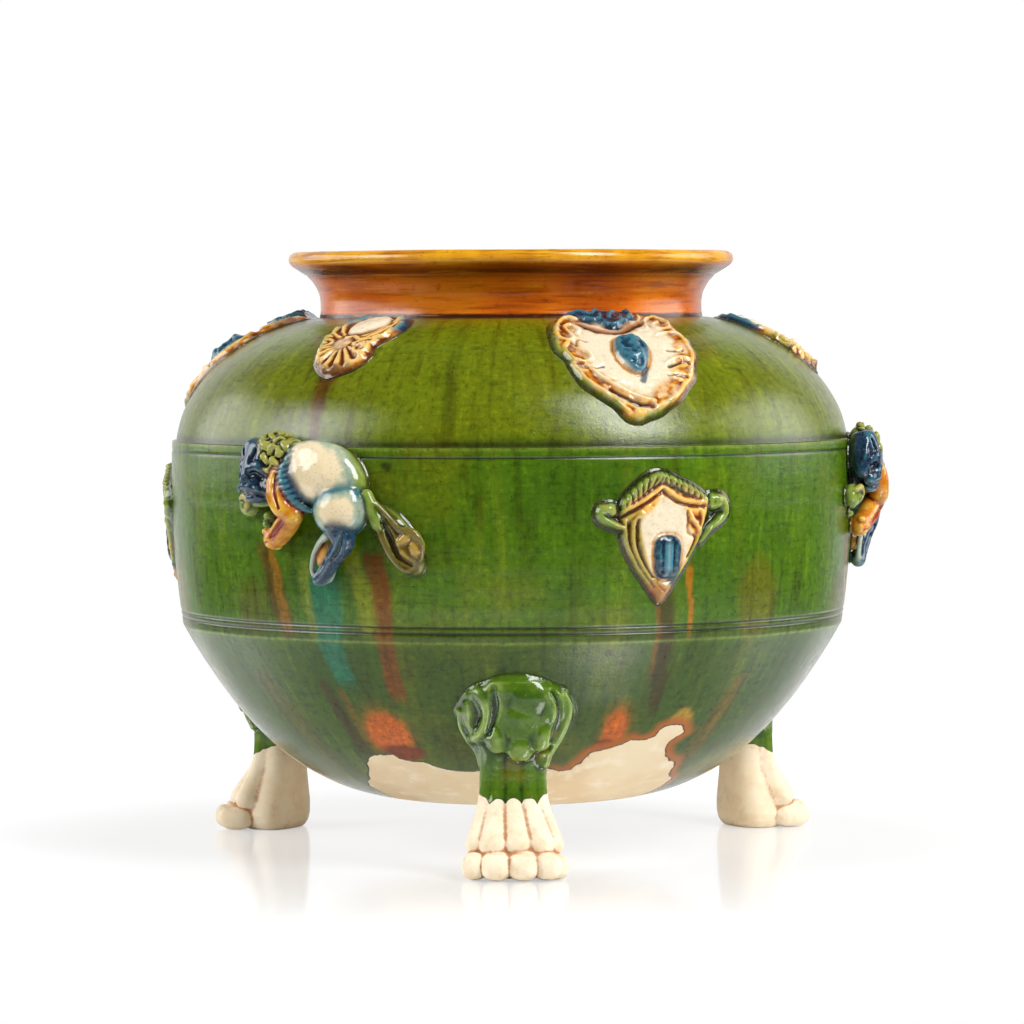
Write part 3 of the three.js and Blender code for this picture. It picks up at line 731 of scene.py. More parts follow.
def vessel_colours(azimuth, length, height, radius, points):
    """The green glaze's slow changes of tone, its pools, and the runs and patches that stain it."""
    run_place = np.column_stack([points[:, :2] / radius[:, None] * BAND_RADIUS, length * 0.16])
    cloud = rough_noise(points, 30, 3, 4)
    streak = rough_noise(run_place, 7, 11)
    over_rim = ramp(BOWL_RIM_HEIGHT - 0.3, BOWL_RIM_HEIGHT + 0.8, height)
    colour = painted(
        (0.064, 0.142, 0.0040),
        ((0.130, 0.170, 0.0035), ramp(LEDGE_HEIGHT - 2, LEDGE_HEIGHT + 6, height)),
        ((0.046, 0.090, 0.006), ramp(BOWL_RIM_HEIGHT + 1, BOWL_RIM_HEIGHT - 3, height)),
        ((0.135, 0.155, 0.003), 0.65 * ramp(0.05, 0.55, cloud)),
        ((0.026, 0.076, 0.005), 0.65 * ramp(-0.05, -0.55, cloud)),
        ((0.15, 0.18, 0.008), 0.38 * ramp(0.1, 0.8, streak)),
        ((0.030, 0.058, 0.003), 0.45 * ramp(-0.15, -0.8, streak)),
        ((0.040, 0.066, 0.003), 0.7 * (over_rim * ramp(78, 76, height))),
    )

    waver = azimuth + 1.1 * rough_noise(points, 11, 21)
    level = height + 1.6 * rough_noise(points, 9, 31)
    for third in range(SETS):
        grain = 0.85 + 0.15 * rough_noise(run_place, 3, 41 + third)
        for path, widths, tint, strength in RUNS:
            seen = run_of_glaze(wrapped(waver - third * THIRD), level, path, widths, radius)
            colour = mixed(colour, tint, seen * strength * grain)
        for (at, middle), (half_width, half_height), tint, strength in PATCHES:
            off = wrapped(waver - third * THIRD - at) * np.pi / 180 * radius / half_width
            reach = np.hypot(off, (level - middle) / half_height)
            colour = mixed(colour, tint, strength * (1 - ramp(0.62, 1.18, reach)))

    line_pool = line_shade(height + 0.15 * rough_noise(points, 2, 51))
    on_shoulder = ramp(LEDGE_HEIGHT - 0.4, LEDGE_HEIGHT, height)
    ledge_pool = hill(length - LEDGE_LENGTH - 1.6, 2.0) * on_shoulder
    ledge_crest = hill(height - LEDGE_HEIGHT + 0.5, 0.9) * (height < LEDGE_HEIGHT)
    crest = np.clip(hill(height - BOWL_RIM_HEIGHT, 0.8) + ledge_crest, 0, 1)
    colour = painted(
        colour,
        (POOLED_AND_SHADED, 0.85 * line_pool),
        ((0.030, 0.030, 0.006), 0.8 * ledge_pool),
        ((0.24, 0.30, 0.05), 0.40 * crest),
        (NECK_FOOT_BROWN, ramp(4.5, 0.5, SKIN_END - length)),
    )
    return colour, run_place * MM


def vessel_body():
    """The vessel's glazed outside and its bare inside, closed under the base and over the floor."""
    columns = 840
    features = [length_at(h) for h in (*LOW_LINES, TOP_LINE, BOWL_RIM_HEIGHT, LEDGE_HEIGHT)]
    lengths = fine_lengths(features, PROFILE_LENGTHS[-1])
    radius = np.interp(lengths, PROFILE_LENGTHS, PROFILE_EVEN[:, 0])
    height = np.interp(lengths, PROFILE_LENGTHS, PROFILE_EVEN[:, 1])
    along = np.stack([np.interp(lengths, SKIN_LENGTHS, skin_along[:, k]) for k in (0, 1)], axis=1)

    row, column, azimuth = rows_and_columns(len(lengths), columns)
    smooth = around(radius[row], azimuth[column], height[row])
    throwing = 0.05 * lump_noise(smooth * [0.03, 0.03, 1], 3.2, 61) + 0.22 * lump_noise(smooth, 60, 71)
    relief = throwing - 0.30 - LINE_DEPTH * line_shade(height[row])
    out, up = relief * along[row, 1], -relief * along[row, 0]
    shown = around(radius[row] + out, azimuth[column], height[row] + up)
    shown[:, 2] = np.maximum(shown[:, 2], UNDERSIDE_HEIGHT)
    colour, run_place = vessel_colours(azimuth[column], lengths[row], height[row], radius[row], smooth)
    cover = bare_distance(azimuth[column], height[row])
    thin_edge = ramp(4, 14, azimuth[column]) * ramp(64, 50, azimuth[column])

    inner = inside_profile()
    inner_radius, inner_height = np.repeat(inner, columns, axis=0).T
    inner_points = around(inner_radius, np.tile(azimuth, len(inner)), inner_height)
    count = len(shown)
    points = np.vstack([shown, inner_points, [[0, 0, UNDERSIDE_HEIGHT], [0, 0, inner[-1, 1]]]])
    quads, caps = closed_faces(len(lengths) + len(inner), columns)
    slots = np.concatenate([quads.min(axis=1) >= count, np.arange(len(caps)) >= columns])
    rest = len(points) - count
    attributes = {
        "glaze_colour": np.vstack([colour, np.tile(NECK_FOOT_BROWN, (rest, 1))]),
        "run_place": np.vstack([run_place, points[count:] * MM]),
        "cover": np.concatenate([cover, np.full(columns, 20), np.full(rest - columns, -20)]),
        "thin_edge": np.concatenate([thin_edge, np.zeros(rest)]),
    }
    materials = [GREEN_GLAZE, BARE_CLAY]
    piece = mesh_object("glazed_vessel", points, [quads, caps], attributes, materials, slots)
    dress(piece, "vessel_body")


def inside_profile():
    """The vessel's inner wall, from the throat down to near the axis."""
    inner = SKIN - WALL * np.stack([skin_along[:, 1], -skin_along[:, 0]], axis=1)
    floor = UNDERSIDE_HEIGHT + WALL + 1
    throat_end = NECK_FOOT_HEIGHT - WALL
    radius, height = inner.T
    wall = inner[(height > floor + 1) & (radius > MOUTH_RADIUS + 1) & (height < throat_end)][::-6]
    throat = [(MOUTH_RADIUS, NECK_FOOT_HEIGHT), (MOUTH_RADIUS, throat_end)]
    bottom = [(UNDERSIDE_RADIUS * share, floor) for share in (0.95, 0.7, 0.45, 0.2)]
    return np.vstack([throat, wall, bottom])


GREEN_GLAZE = vessel_glaze("green_glaze")
SPRIG_GLAZE = sprig_glaze("sprig_glaze")
BARE_CLAY = bare_clay("bare_clay")
vessel_body()


# The neck and rim
NECK_OUTSIDE_LENGTH = 34


def neck_profile():
    """Outer and inner line of the neck, from its foot round the lip and down the mouth."""
    foot = neck_low.z / MM - 0.7
    line = curve_through([
        (62.5, foot), (62.4, foot + 1.2), (62.2, foot + 2.6), (62.2, 177.4), (62.9, 180.2), (64.6, 183.2),
        (66.9, 185.4), (69.4, 187.1), (71.6, 188.6), (72.4, 190.2), (72.0, 191.9), (70.6, 192.9),
        (69.0, RIM_HEIGHT), (67.6, 192.8), (66.2, 191.6), (63.4, 188.2), (60.2, 184), (58.2, 180),
        (57.4, 176.4), (MOUTH_RADIUS, foot),
    ], each=10)
    return np.clip(line, (MOUTH_RADIUS, foot), (RIM_RADIUS, RIM_HEIGHT))


def neck_and_rim():
    columns = 600
    profile = neck_profile()
    lengths = np.concatenate([[0], np.cumsum(np.hypot(*np.diff(profile, axis=0).T))])
    rows = len(profile)
    row, column, azimuth = rows_and_columns(rows, columns)
    smooth = around(profile[row, 0], azimuth[column], profile[row, 1])
    normal = vertex_normals(smooth, lathe_faces(rows, columns))
    ring_line = hill(profile[row, 1] - 185.2, 0.5) * (lengths[row] < NECK_OUTSIDE_LENGTH - 4)
    relief = 0.05 * lump_noise(smooth * [0.05, 0.05, 1], 1.6, 5) + 0.08 * lump_noise(smooth, 24, 9)
    points = smooth + normal * (relief - 0.14 - 0.20 * ring_line)[:, None]
    colour = neck_colours(lengths[row], profile[row, 1], smooth)
    shell = np.column_stack([smooth[:, :2], smooth[:, 2] * 0.35]) * MM
    attributes = {
        "glaze_colour": colour,
        "run_place": shell,
        "cover": np.full(len(points), 20.0),
        "thin_edge": np.zeros(len(points)),
    }
    quads = lathe_faces(rows + 1, columns) % (rows * columns)
    piece = mesh_object("amber_neck", points, [quads], attributes, [AMBER_GLAZE])
    dress(piece, "neck_and_rim")


def neck_colours(length, height, points):
    """Amber glaze: orange where thin, red-brown where it pools, with dark rings, a yellow lip and painted
    shadow under the rim.
    """
    tone = rough_noise(points * [1, 1, 0.25], 26, 13)
    rings = lump_noise(points * [0.04, 0.04, 1], 1.3, 17)
    outside = length < NECK_OUTSIDE_LENGTH
    # Painted shadow: darker on the outside just under the rim's overhang.
    painted_rim_shadow = outside * hill(height - 186.2, 2.6)
    foot = outside * ramp(1.3, 0.4, height - neck_low.z / MM - 0.3 * rough_noise(points, 3, 23))
    lip_tone = ramp(0, 0.5, rough_noise(points, 12, 19))
    yellow = mixed((0.80, 0.38, 0.014), (0.60, 0.24, 0.007), lip_tone)
    return painted(
        (0.74, 0.165, 0.004),
        ((0.50, 0.090, 0.004), ramp(-0.1, 0.6, tone)),
        ((0.74, 0.22, 0.007), ramp(0.1, -0.6, tone)),
        ((0.22, 0.036, 0.003), 0.5 * ramp(0.2, 0.8, rings)),
        # painted shadow under the rim
        ((0.070, 0.018, 0.001), 0.85 * np.clip(painted_rim_shadow, 0, 1)),
        ((0.035, 0.010, 0.004), 0.95 * foot),
        (yellow, ramp(187.6, 190.0, height)),
        ((0.40, 0.14, 0.020), 0.6 * (~outside * ramp(186, 181, height))),
    )


def amber_glaze(name):
    """The neck's amber glaze, with turned rings, streaks and small dark specks."""
    nodes = Nodes(name)
    place = nodes.place()
    turn_place = nodes.place((0.06, 0.06, 1))
    colour = nodes.value("glaze_colour", "Color")
    rings = nodes.noise(turn_place, 900, 3, 0.6)
    ringed = nodes.tinted(colour, (0.42, 0.26, 0.14), nodes.ramp(rings, 0.50, 0.72, 0, 0.65))
    pale = nodes.mix(ringed, (0.74, 0.33, 0.03), nodes.ramp(rings, 0.46, 0.28, 0, 0.5))
    mottle = nodes.noise(place, 600, 4, 0.6)
    mottled = nodes.tinted(pale, (0.40, 0.26, 0.16), nodes.ramp(mottle, 0.54, 0.78, 0, 0.6))
    normal = glaze_bump(nodes, place, turn_place, 0.00004)
    rough = nodes.ramp(nodes.noise(place, 70, 3), 0.3, 0.7, 0.12, 0.22)
    return nodes.finish_surface(mottled, rough, normal)


AMBER_GLAZE = amber_glaze("amber_glaze")
neck_and_rim()


# Legs. Their own axes are x across, y out from the vessel's axis and z up.
GLAZE_STOP = 23.6
KNEE_MIDDLE = 1.1
OBLONG = 2.6
BOWL_LEAN = 0.75

# Height, middle depth, half width and half depth of the foot's core and of the boss at the knee
FOOT_COLUMN = [
    (-0.6, 92.6, 9.6, 6.6), (0.7, 92.5, 11.4, 7.9), (2.4, 92.4, 12.4, 8.8), (5, 92.3, 12.9, 9.2),
    (9, 92.0, 12.7, 9.0), (14, 91.6, 11.7, 8.4), (20, 90.8, 10.3, 7.5), (27, 90.4, 9.6, 6.8),
    (34, 90.6, 9.6, 6.5), (40, 90.5, 11, 7),
]
KNEE_COLUMN = [
    (34.5, 91.2, 9.8, 6.2), (36.5, 90.9, 10.8, 7.6), (40, 90.4, 12.5, 9.5), (43.5, 89.9, 14.8, 11.0),
    (47, 89.6, 16.8, 11.8), (50.5, 89.8, 17.7, 12.2), (53.5, 90.4, 17.4, 12.3), (56, 91.4, 16.2, 11.9),
    (58.5, 92.9, 13.8, 10.8), (60.5, 94.2, 11.0, 9.4), (62.2, 95.3, 7.6, 7.4), (63.4, 96.1, 4.0, 5.0),
    (64.2, 96.5, 1.0, 2.0),
]

# Ridges of the foot, from under the knee to the knuckles: sideways place, front and radius at each height
BONE_HEIGHTS = (40, 27, 20, 10.4)
BONES = [
    ((-7.2, -7.4, -8.2, -10.8), (96.0, 96.0, 97.0, 101.6), (3.0, 3.0, 3.4, 4.0)),
    ((-4.2, -4.3, -4.8, -5.8), (97.2, 97.3, 99.2, 105.2), (3.0, 3.2, 3.9, 5.0)),
    ((0.0, 0.0, 0.3, 1.4), (97.6, 97.7, 99.7, 105.6), (3.0, 3.3, 4.1, 5.2)),
    ((4.4, 4.5, 5.2, 7.8), (97.2, 97.2, 99.0, 104.6), (3.0, 3.1, 3.8, 4.8)),
    ((7.4, 7.6, 8.6, 11.6), (95.6, 95.7, 96.8, 100.4), (2.8, 2.7, 3.1, 3.8)),
]

# Toes: sideways place, tip, half width, half length, half height and splay
TOES = [
    (-11.6, 107.4, 4.0, 6.4, 4.2, 12), (-5.2, 110.4, 4.8, 6.6, 4.5, 3), (2.9, 110.8, 5.0, 6.6, 4.6, 0),
    (9.9, 109.4, 4.4, 6.8, 4.3, -10), (13.2, 105.8, 3.4, 5.8, 3.8, -12),
]


def column_at(table, z):
    heights, middle, half_width, half_depth = np.array(table, float).T
    return [np.interp(z, heights, values) for values in (middle, half_width, half_depth)]


def column(place, table, across=0.0):
    """A column with rounded oblong sections."""
    x, y, z = place
    middle, half_width, half_depth = column_at(table, z[0, 0])
    sideways = np.abs((x - across) / half_width) ** OBLONG
    reach = (sideways + np.abs((y - middle) / half_depth) ** OBLONG) ** (1 / OBLONG)
    side = (reach - 1) * np.minimum(half_width, half_depth)
    return np.maximum(side, np.maximum(table[0][0] - z, z - table[-1][0]))


def on_knee(points, proud=0.0):
    """Places (x, z) on the front of the knee's boss, set proud of it or sunk in it."""
    placed = []
    for x, z in points:
        middle, half_width, half_depth = column_at(KNEE_COLUMN, z)
        share = min(abs((x - KNEE_MIDDLE) / half_width), 0.995)
        placed.append((x, middle + half_depth * (1 - share**OBLONG) ** (1 / OBLONG) + proud, z))
    return placed


# The fold behind the toes, as (x, y, z), and the places of the gaps between them
KNUCKLES = [
    (-15.4, 100.8, 8.8), (-12.0, 104.4, 8.7), (-6, 106.6, 9.0), (-1.4, 106.2, 8.7), (3, 107.0, 9.1),
    (7.2, 106.2, 8.7), (11, 105.6, 8.8), (15.6, 100.5, 8.2),
]
TOE_GAPS = (-9.4, -1.4, 7.2)


def foot_field(place):
    """A foot: a smooth heel, five ridges that fan out to the knuckles, and a toe below each."""
    bones = []
    for across, front, radii in BONES:
        path = [(x, y - r, z) for x, y, r, z in zip(across, front, radii, BONE_HEIGHTS)]
        bones.append(rod(place, path, radii))
    toes = []
    for x, tip, width, length, height, splay in TOES:
        toes.append(egg(place, (x, tip - length, height + 0.05), (width, length, height), splay, 2.5))
    foot = joined([column(place, FOOT_COLUMN), joined(bones, 0.7)], 1.2)
    foot = joined([foot, joined(toes, 0.6)], 0.6)
    folds = [rod(place, KNUCKLES, 0.6)]
    for x in TOE_GAPS:
        folds.append(rod(place, [(x, 111.0, 0.8), (x, 110.0, 5.4), (x * 0.97, 106.4, 8.8)], (0.4, 0.5, 0.4)))
    return carved(foot, joined(folds, 0.3), 1.3)


# Lobes of the knee's boss: place (x, z), how proud of its front, radii and turn
KNEE_LOBES = [
    ((-4.8, 43.0), -2.8, (4.3, 4.2, 5.4), 20),
    ((2.0, 40.8), -2.6, (5.2, 4.5, 5.8), 0),
    ((8.2, 43.8), -2.8, (4.0, 4.2, 6.0), -20),
    ((2.0, 49.6), -3.0, (7.6, 4.3, 7.6), 0),
    ((4.6, 55.4), -2.6, (6.2, 3.4, 4.6), 0),
    ((-3.6, 57.4), -2.4, (4.0, 2.9, 3.2), 0),
    ((12.4, 52.6), -2.4, (3.0, 3.1, 5.4), 0),
]

# Ridges and cuts of the knee's boss: path (x, z), how proud of its front, and radii
KNEE_RIDGES = [
    # the curled ear, the two flanges, the folds beside the muzzle and the ridge down it
    ([(-13.4, 42.4), (-10.8, 43.4), (-8.6, 46.2), (-7.8, 50.4), (-8.6, 54.6), (-10.8, 57.4), (-13.4, 56.4)],
     -0.9, (1.0, 1.5, 1.7, 1.7, 1.6, 1.4, 0.9)),
    ([(-16.2, 51.0), (-15.6, 46.0), (-13.2, 41.8), (-10.8, 38.4), (-9.6, 34.6)], -0.5, 1.2),
    ([(15.4, 56.4), (16.9, 52.8), (16.2, 48.0), (13.9, 42.8), (11.2, 38.6), (9.8, 34.8)], -0.4, 1.3),
    ([(-3.4, 59.0), (-3.0, 55.2), (-3.8, 51.0), (-5.6, 47.0)], -0.8, (0.6, 1.2, 1.1, 0.6)),
    ([(8.6, 58.0), (10.4, 54.4), (10.0, 50.4), (8.0, 46.6)], -0.9, (0.6, 1.2, 1.2, 0.6)),
    ([(-1.6, 45.4), (1.8, 41.2), (2.4, 37.8)], -0.2, (0.5, 0.9, 0.6)),
]
KNEE_CUTS = [
    # inside the ear, beside the muzzle, inside the right flange and under the folds
    ([(-12.4, 53.6), (-11.4, 50.4), (-12.2, 47.0)], 0.4, (0.9, 1.5, 0.9)),
    ([(-6.0, 58.4), (-5.6, 54.0), (-6.2, 49.4), (-7.6, 44.8)], 0.5, (0.5, 0.7, 0.6, 0.4)),
    ([(12.8, 57.0), (14.4, 52.6), (13.9, 47.4), (11.8, 42.4)], 0.7, (0.5, 0.8, 0.8, 0.5)),
    ([(-8.8, 40.8), (-6.2, 38.0), (-2.8, 37.6), (-0.8, 35.8), (2.4, 34.6), (5.6, 36.0), (7.4, 38.2),
      (10.6, 40.0)], 0.2, 0.7),
]
SHANK_FLUTES = (-6.6, -2.3, 2.4, 6.8)


def knee_rods(place, table):
    return [rod(place, on_knee(path, proud), radii) for path, proud, radii in table]


def knee_field(place):
    """The boss at the knee: an ear, folds that hang over the shank like a muzzle, and thin flanges."""
    lobes = [egg(place, on_knee([at], proud)[0], radii, turn) for at, proud, radii, turn in KNEE_LOBES]
    knee = joined([column(place, KNEE_COLUMN, KNEE_MIDDLE), joined(lobes, 1.2)], 2.0)
    knee = joined([knee, *knee_rods(place, KNEE_RIDGES)], 1.2)
    cuts = knee_rods(place, KNEE_CUTS)
    for x in SHANK_FLUTES:
        path = [(x, 98.2, 37.0), (x, 97.6, 31.0), (x * 1.05, 98.9, 24.4), (x * 1.05, 100.0, 21.0)]
        cuts.append(rod(place, path, (0.9, 1.3, 1.1, 0.8)))
    return carved(knee, joined(cuts, 0.6), 2.0)


def gap_to_bowl(x, y, heights):
    """About the distance from the bowl's skin."""
    return (np.hypot(x, y) - skin_radius(heights)) * BOWL_LEAN


def leg_field(place):
    """A leg in the place of its node: foot, knee, a bead of glaze at the bowl, and a flat sole."""
    x, y, z = place
    whole = joined([foot_field(place), knee_field(place)], 0.9)
    off_skin = gap_to_bowl(x, y, z[0, 0])
    whole = joined([whole, np.maximum(whole - 0.9, off_skin - 0.10)], 1.4)
    wall = np.where(z > UNDERSIDE_HEIGHT + 1, -1.8 - off_skin, -FAR)
    return np.maximum(np.maximum(whole, wall), 0.02 - z)


def leg_colours(x, y, z, hollow, points, seed):
    """Green glaze, broken thin on the ridges, and its distance above an uneven stop."""
    cloud = rough_noise(points, 8, seed)
    # Darker where the leg meets the bowl: partly glaze pooled in the join, partly painted shade.
    foot = ramp(0.75, 0.15, gap_to_bowl(x, y, z)) * ramp(30, 34, z)
    colour = painted(
        (0.066, 0.138, 0.006),
        (GLAZES["green"]["deep"], ramp(-0.01, 0.20, hollow)),
        ((0.26, 0.36, 0.08), 0.85 * ramp(-0.05, -0.30, hollow)),
        ((0.150, 0.130, 0.003), 0.75 * ramp(0.1, 0.6, cloud)),
        ((0.016, 0.058, 0.006), 0.65 * ramp(-0.05, -0.5, cloud)),
        ((0.012, 0.026, 0.003), 0.85 * foot),
    )
    teeth = 1.5 * np.abs(np.sin((x - 2.5) * np.pi / 4.9)) + 0.5 * lump_noise(points, 1.6, seed + 5)
    cover = z - (GLAZE_STOP - 0.7 + teeth) - 0.42 * np.clip(97 - y, 0, 20)
    return colour, cover


def leg_glaze(name):
    """Green glaze over a bare paw whose creases hold a rust-coloured stain."""
    nodes = Nodes(name)
    place = nodes.place()
    hollow = nodes.value("hollow")
    colour = nodes.value("glaze_colour", "Color")
    mottle = nodes.noise(place, 900, 4, 0.6)
    dark = nodes.tinted(colour, (0.35, 0.45, 0.35), nodes.ramp(mottle, 0.52, 0.8, 0, 0.8))
    light = nodes.mix(dark, (0.42, 0.48, 0.14), nodes.ramp(mottle, 0.40, 0.2, 0, 0.4))
    cover = nodes.value("cover")
    glazed = nodes.ramp(cover, -0.1, 0.1)
    rim = nodes.ramp(cover, 0.05, 0.8, 1, 0)
    rimmed = nodes.tinted(light, (0.30, 0.35, 0.25), nodes.times(rim, 0.7))
    smear = nodes.ramp(nodes.noise(place, 110, 4, 0.65), 0.4, 0.7)
    clay = nodes.mix((0.86, 0.74, 0.55), (0.80, 0.64, 0.43), smear)
    crease = nodes.math("ADD", hollow, nodes.times(nodes.math("SUBTRACT", mottle, 0.5), 0.35))
    stained = nodes.mix(clay, (0.44, 0.185, 0.066), nodes.ramp(crease, 0.02, 0.30, 0, 0.95))
    smudge = nodes.ramp(nodes.noise(place, 160, 5, 0.7), 0.50, 0.72, 0, 0.42)
    smudged = nodes.mix(stained, (0.60, 0.38, 0.20), smudge)
    base = nodes.mix(smudged, rimmed, glazed)
    grain = nodes.bump(nodes.noise(place, 1400, 3), 0.00003)
    skin = nodes.bump(nodes.noise(place, 260, 2), 0.00008, grain)
    thick = nodes.bump(nodes.ramp(cover, -0.1, 0.5), 0.00025, skin)
    roughness = nodes.blend(glazed, 0.72, 0.09)
    return nodes.finish_surface(base, roughness, thick)


LEG_GLAZE = leg_glaze("leg_glaze")


def legs():
    """Three legs of one shape, each with glaze of its own."""
    points, faces = surface_net(leg_field, (-20.8, 80, -0.4), (21.6, 112.5, 67.6), 0.42)
    hollow = hollowness(points, faces, 36)
    x, y, z = points.T
    for i in range(SETS):
        colour, cover = leg_colours(x, y, z, hollow, points, 101 + 7 * i)
        placed = turned(points * [1, -1, 1], i * THIRD)
        attributes = {"glaze_colour": colour, "cover": cover, "hollow": hollow}
        piece = mesh_object(f"lion_paw_{i + 1}", placed, [faces[:, ::-1]], attributes, [LEG_GLAZE])
        dress(piece, f"paw_leg_{i + 1}")


legs()


# Reliefs pressed in a mould: a height map on the skin, closed by a back just under it
RELIEF_BACK = -0.8
RELIEF_CUT = -0.75


def relief_mesh(low, high, height_at, step=0.36):
    """Points u, v, h and faces of a closed relief; places where the height is low are left out."""
    u, v = np.meshgrid(*(np.arange(a, b, step) for a, b in zip(low, high)), indexing="ij")
    height = height_at(u, v)
    kept = height > RELIEF_CUT
    cell = kept[:-1, :-1] | kept[1:, :-1] | kept[1:, 1:] | kept[:-1, 1:]
    a, b = np.nonzero(cell)
    number = np.arange(u.size).reshape(u.shape)
    quads = np.stack([number[a, b], number[a + 1, b], number[a + 1, b + 1], number[a, b + 1]], axis=1)
    uses = np.bincount(quads.ravel(), minlength=u.size)
    border = (uses > 0) & (uses < 4)
    top = np.column_stack([u.ravel(), v.ravel(), height.ravel()])
    back = top.copy()
    back[:, 2] = RELIEF_BACK
    top[border, 2] = RELIEF_BACK
    back_number = np.where(border, np.arange(u.size), np.arange(u.size) + u.size)
    faces = np.vstack([quads, back_number[quads][:, ::-1]])
    points = np.vstack([top, back])
    used = np.unique(faces)
    new_number = np.zeros(len(points), int)
    new_number[used] = np.arange(len(used))
    return points[used], new_number[faces]


def glaze_by_depth(name, hollow, low=0.02, high=0.30):
    """A glaze's colour for each point: deep in hollows and thin on ridges."""
    glaze = GLAZES[name]
    deep, thin = ramp(low, high, hollow), ramp(-low, -high * 0.8, hollow)
    return painted(glaze["body"], (glaze["deep"], deep), (glaze["thin"], thin))


def place_sprigs(name, node, anchor, shape, colours_at):
    """Three copies of a sprig, each with glazes of its own."""
    places, faces = shape
    azimuth, length = anchor
    # Each sprig's foot is darkened: partly glaze pooled round it, partly painted shade along its outline.
    foot = 0.9 * ramp(0.55, 0.1, places[:, 2])
    for i in range(SETS):
        points = on_skin((azimuth + i * THIRD, length), *places.T)
        hollow = hollowness(points, faces)
        colour = mixed(colours_at(*places.T, hollow, places, 7 + 13 * i), POOLED_AND_SHADED, foot)
        piece = mesh_object(f"{name}_{i + 1}", points, [faces], {"glaze_colour": colour}, [SPRIG_GLAZE])
        dress(piece, f"{node}_{i + 1}")


def side_wall(depth, full):
    """The edge of a relief: a low bead of glaze on the skin, then a wall up to the full height."""
    bead = -0.9 + 1.0 * ramp(-1.35, -0.95, depth)
    return bead + (full - 0.10) * ramp(-0.75, 1.5, depth)


def spiral(centre, radius, turns, start, hand=1):
    """Points of a spiral that winds in from its radius."""
    t = np.linspace(0, 1, int(26 * turns))
    angle = np.radians(start) + hand * t * turns * 2 * np.pi
    reach = radius * (1 - 0.85 * t)
    return np.stack([centre[0] + reach * np.cos(angle), centre[1] + reach * np.sin(angle)], axis=1)


def ridge(u, v, line, width, height):
    return height * hill(line_distance(u, v, line), width)


# The large medallion
MEDALLION_ANCHOR = (24, SKIN_END - 30)
MEDALLION_OUTLINE = closed_curve([
    (-9.6, 27.6), (-14.5, 23.0), (-19.6, 17.2), (-22.2, 11.2), (-23.4, 6.4), (-24.4, 0.2), (-22.8, -4.6),
    (-22.4, -9.4), (-20.6, -14.6), (-16.8, -18.6), (-12.2, -22.6), (-9.2, -26.6), (-5.4, -27.7),
    (-1.8, -26.4), (2.0, -25.2), (6.0, -22.6), (10.4, -20.0), (13.6, -16.4), (17.6, -12.6), (19.6, -7.6),
    (22.4, -2.4), (22.6, 2.2), (23.2, 6.2), (21.2, 9.4), (22.2, 13.0), (21.6, 18.0), (19.6, 22.4),
    (16.0, 24.8), (12, 27.2),
])
MEDALLION_CREST = closed_curve([
    (-11.0, 28.4), (-10.2, 23.4), (-9.0, 18.4), (-6.0, 15.8), (-3.2, 12.8), (0.4, 12.4), (3.2, 14.4),
    (6.4, 17.6), (9.8, 19.8), (11.4, 24.4), (10.0, 28.6),
])
MEDALLION_BOSS = closed_curve([
    (-4.4, 4.6), (-1.6, 6.6), (1.6, 6.4), (4.2, 4.2), (5.2, 0.4), (4.2, -4.0), (1.8, -8.2), (-1.2, -10.8),
    (-4.0, -9.8), (-6.0, -6.8), (-6.6, -2.6), (-5.8, 1.4),
])
MEDALLION_RIDGES = [
    # path, width, height
    ([(-10.3, 20.2), (-13.4, 20.8), (-17.8, 16.0), (-20.8, 9.6), (-20.9, 5.2), (-18.2, 4.8), (-16.4, 7.8),
      (-17.0, 12.6), (-14.4, 15.4), (-12.6, 12.6), (-14.2, 9.4)], 1.0, 0.85),
    ([(-19.4, 3.6), (-21.8, -0.2), (-20.9, -4.6), (-17.6, -6.0), (-14.6, -4.0), (-15.0, -0.6), (-17.6, 0.2)],
     0.95, 0.8),
    ([(-21.6, -6.6), (-19.9, -12.8), (-15.9, -16.9), (-11.9, -21.1), (-8.6, -24.4)], 1.3, 0.7),
    ([(-17.4, -7.4), (-14.6, -11.2), (-11.4, -14.6), (-7.8, -17.2), (-3.6, -19.7), (0.4, -21.0)], 1.1, 0.8),
    ([(-2.2, -24.2), (3.4, -22.4), (8.9, -19.2), (13.4, -15.4), (16.9, -10.6)], 1.4, 0.6),
    ([(17.0, -9.6), (20.2, -4.0), (20.6, 1.2), (20.4, 6.0), (18.2, 8.6), (12.4, 8.4)], 1.1, 0.75),
    ([(9.4, -6.4), (14.4, -4.0), (18.0, -5.4)], 0.9, 0.6),
    ([(9.6, -12.4), (12.4, -14.4), (11.0, -17.2)], 0.9, 0.6),
    ([(11.0, 13.4), (12.6, 18.8), (17.4, 21.4), (20.2, 17.2), (18.4, 12.2), (14.6, 12.6), (14.4, 16.0),
      (16.8, 17.0)], 0.95, 0.75),
    ([(5.2, 18.4), (8.6, 17.8), (11.2, 20.2), (13.0, 24.2)], 0.9, 0.5),
]

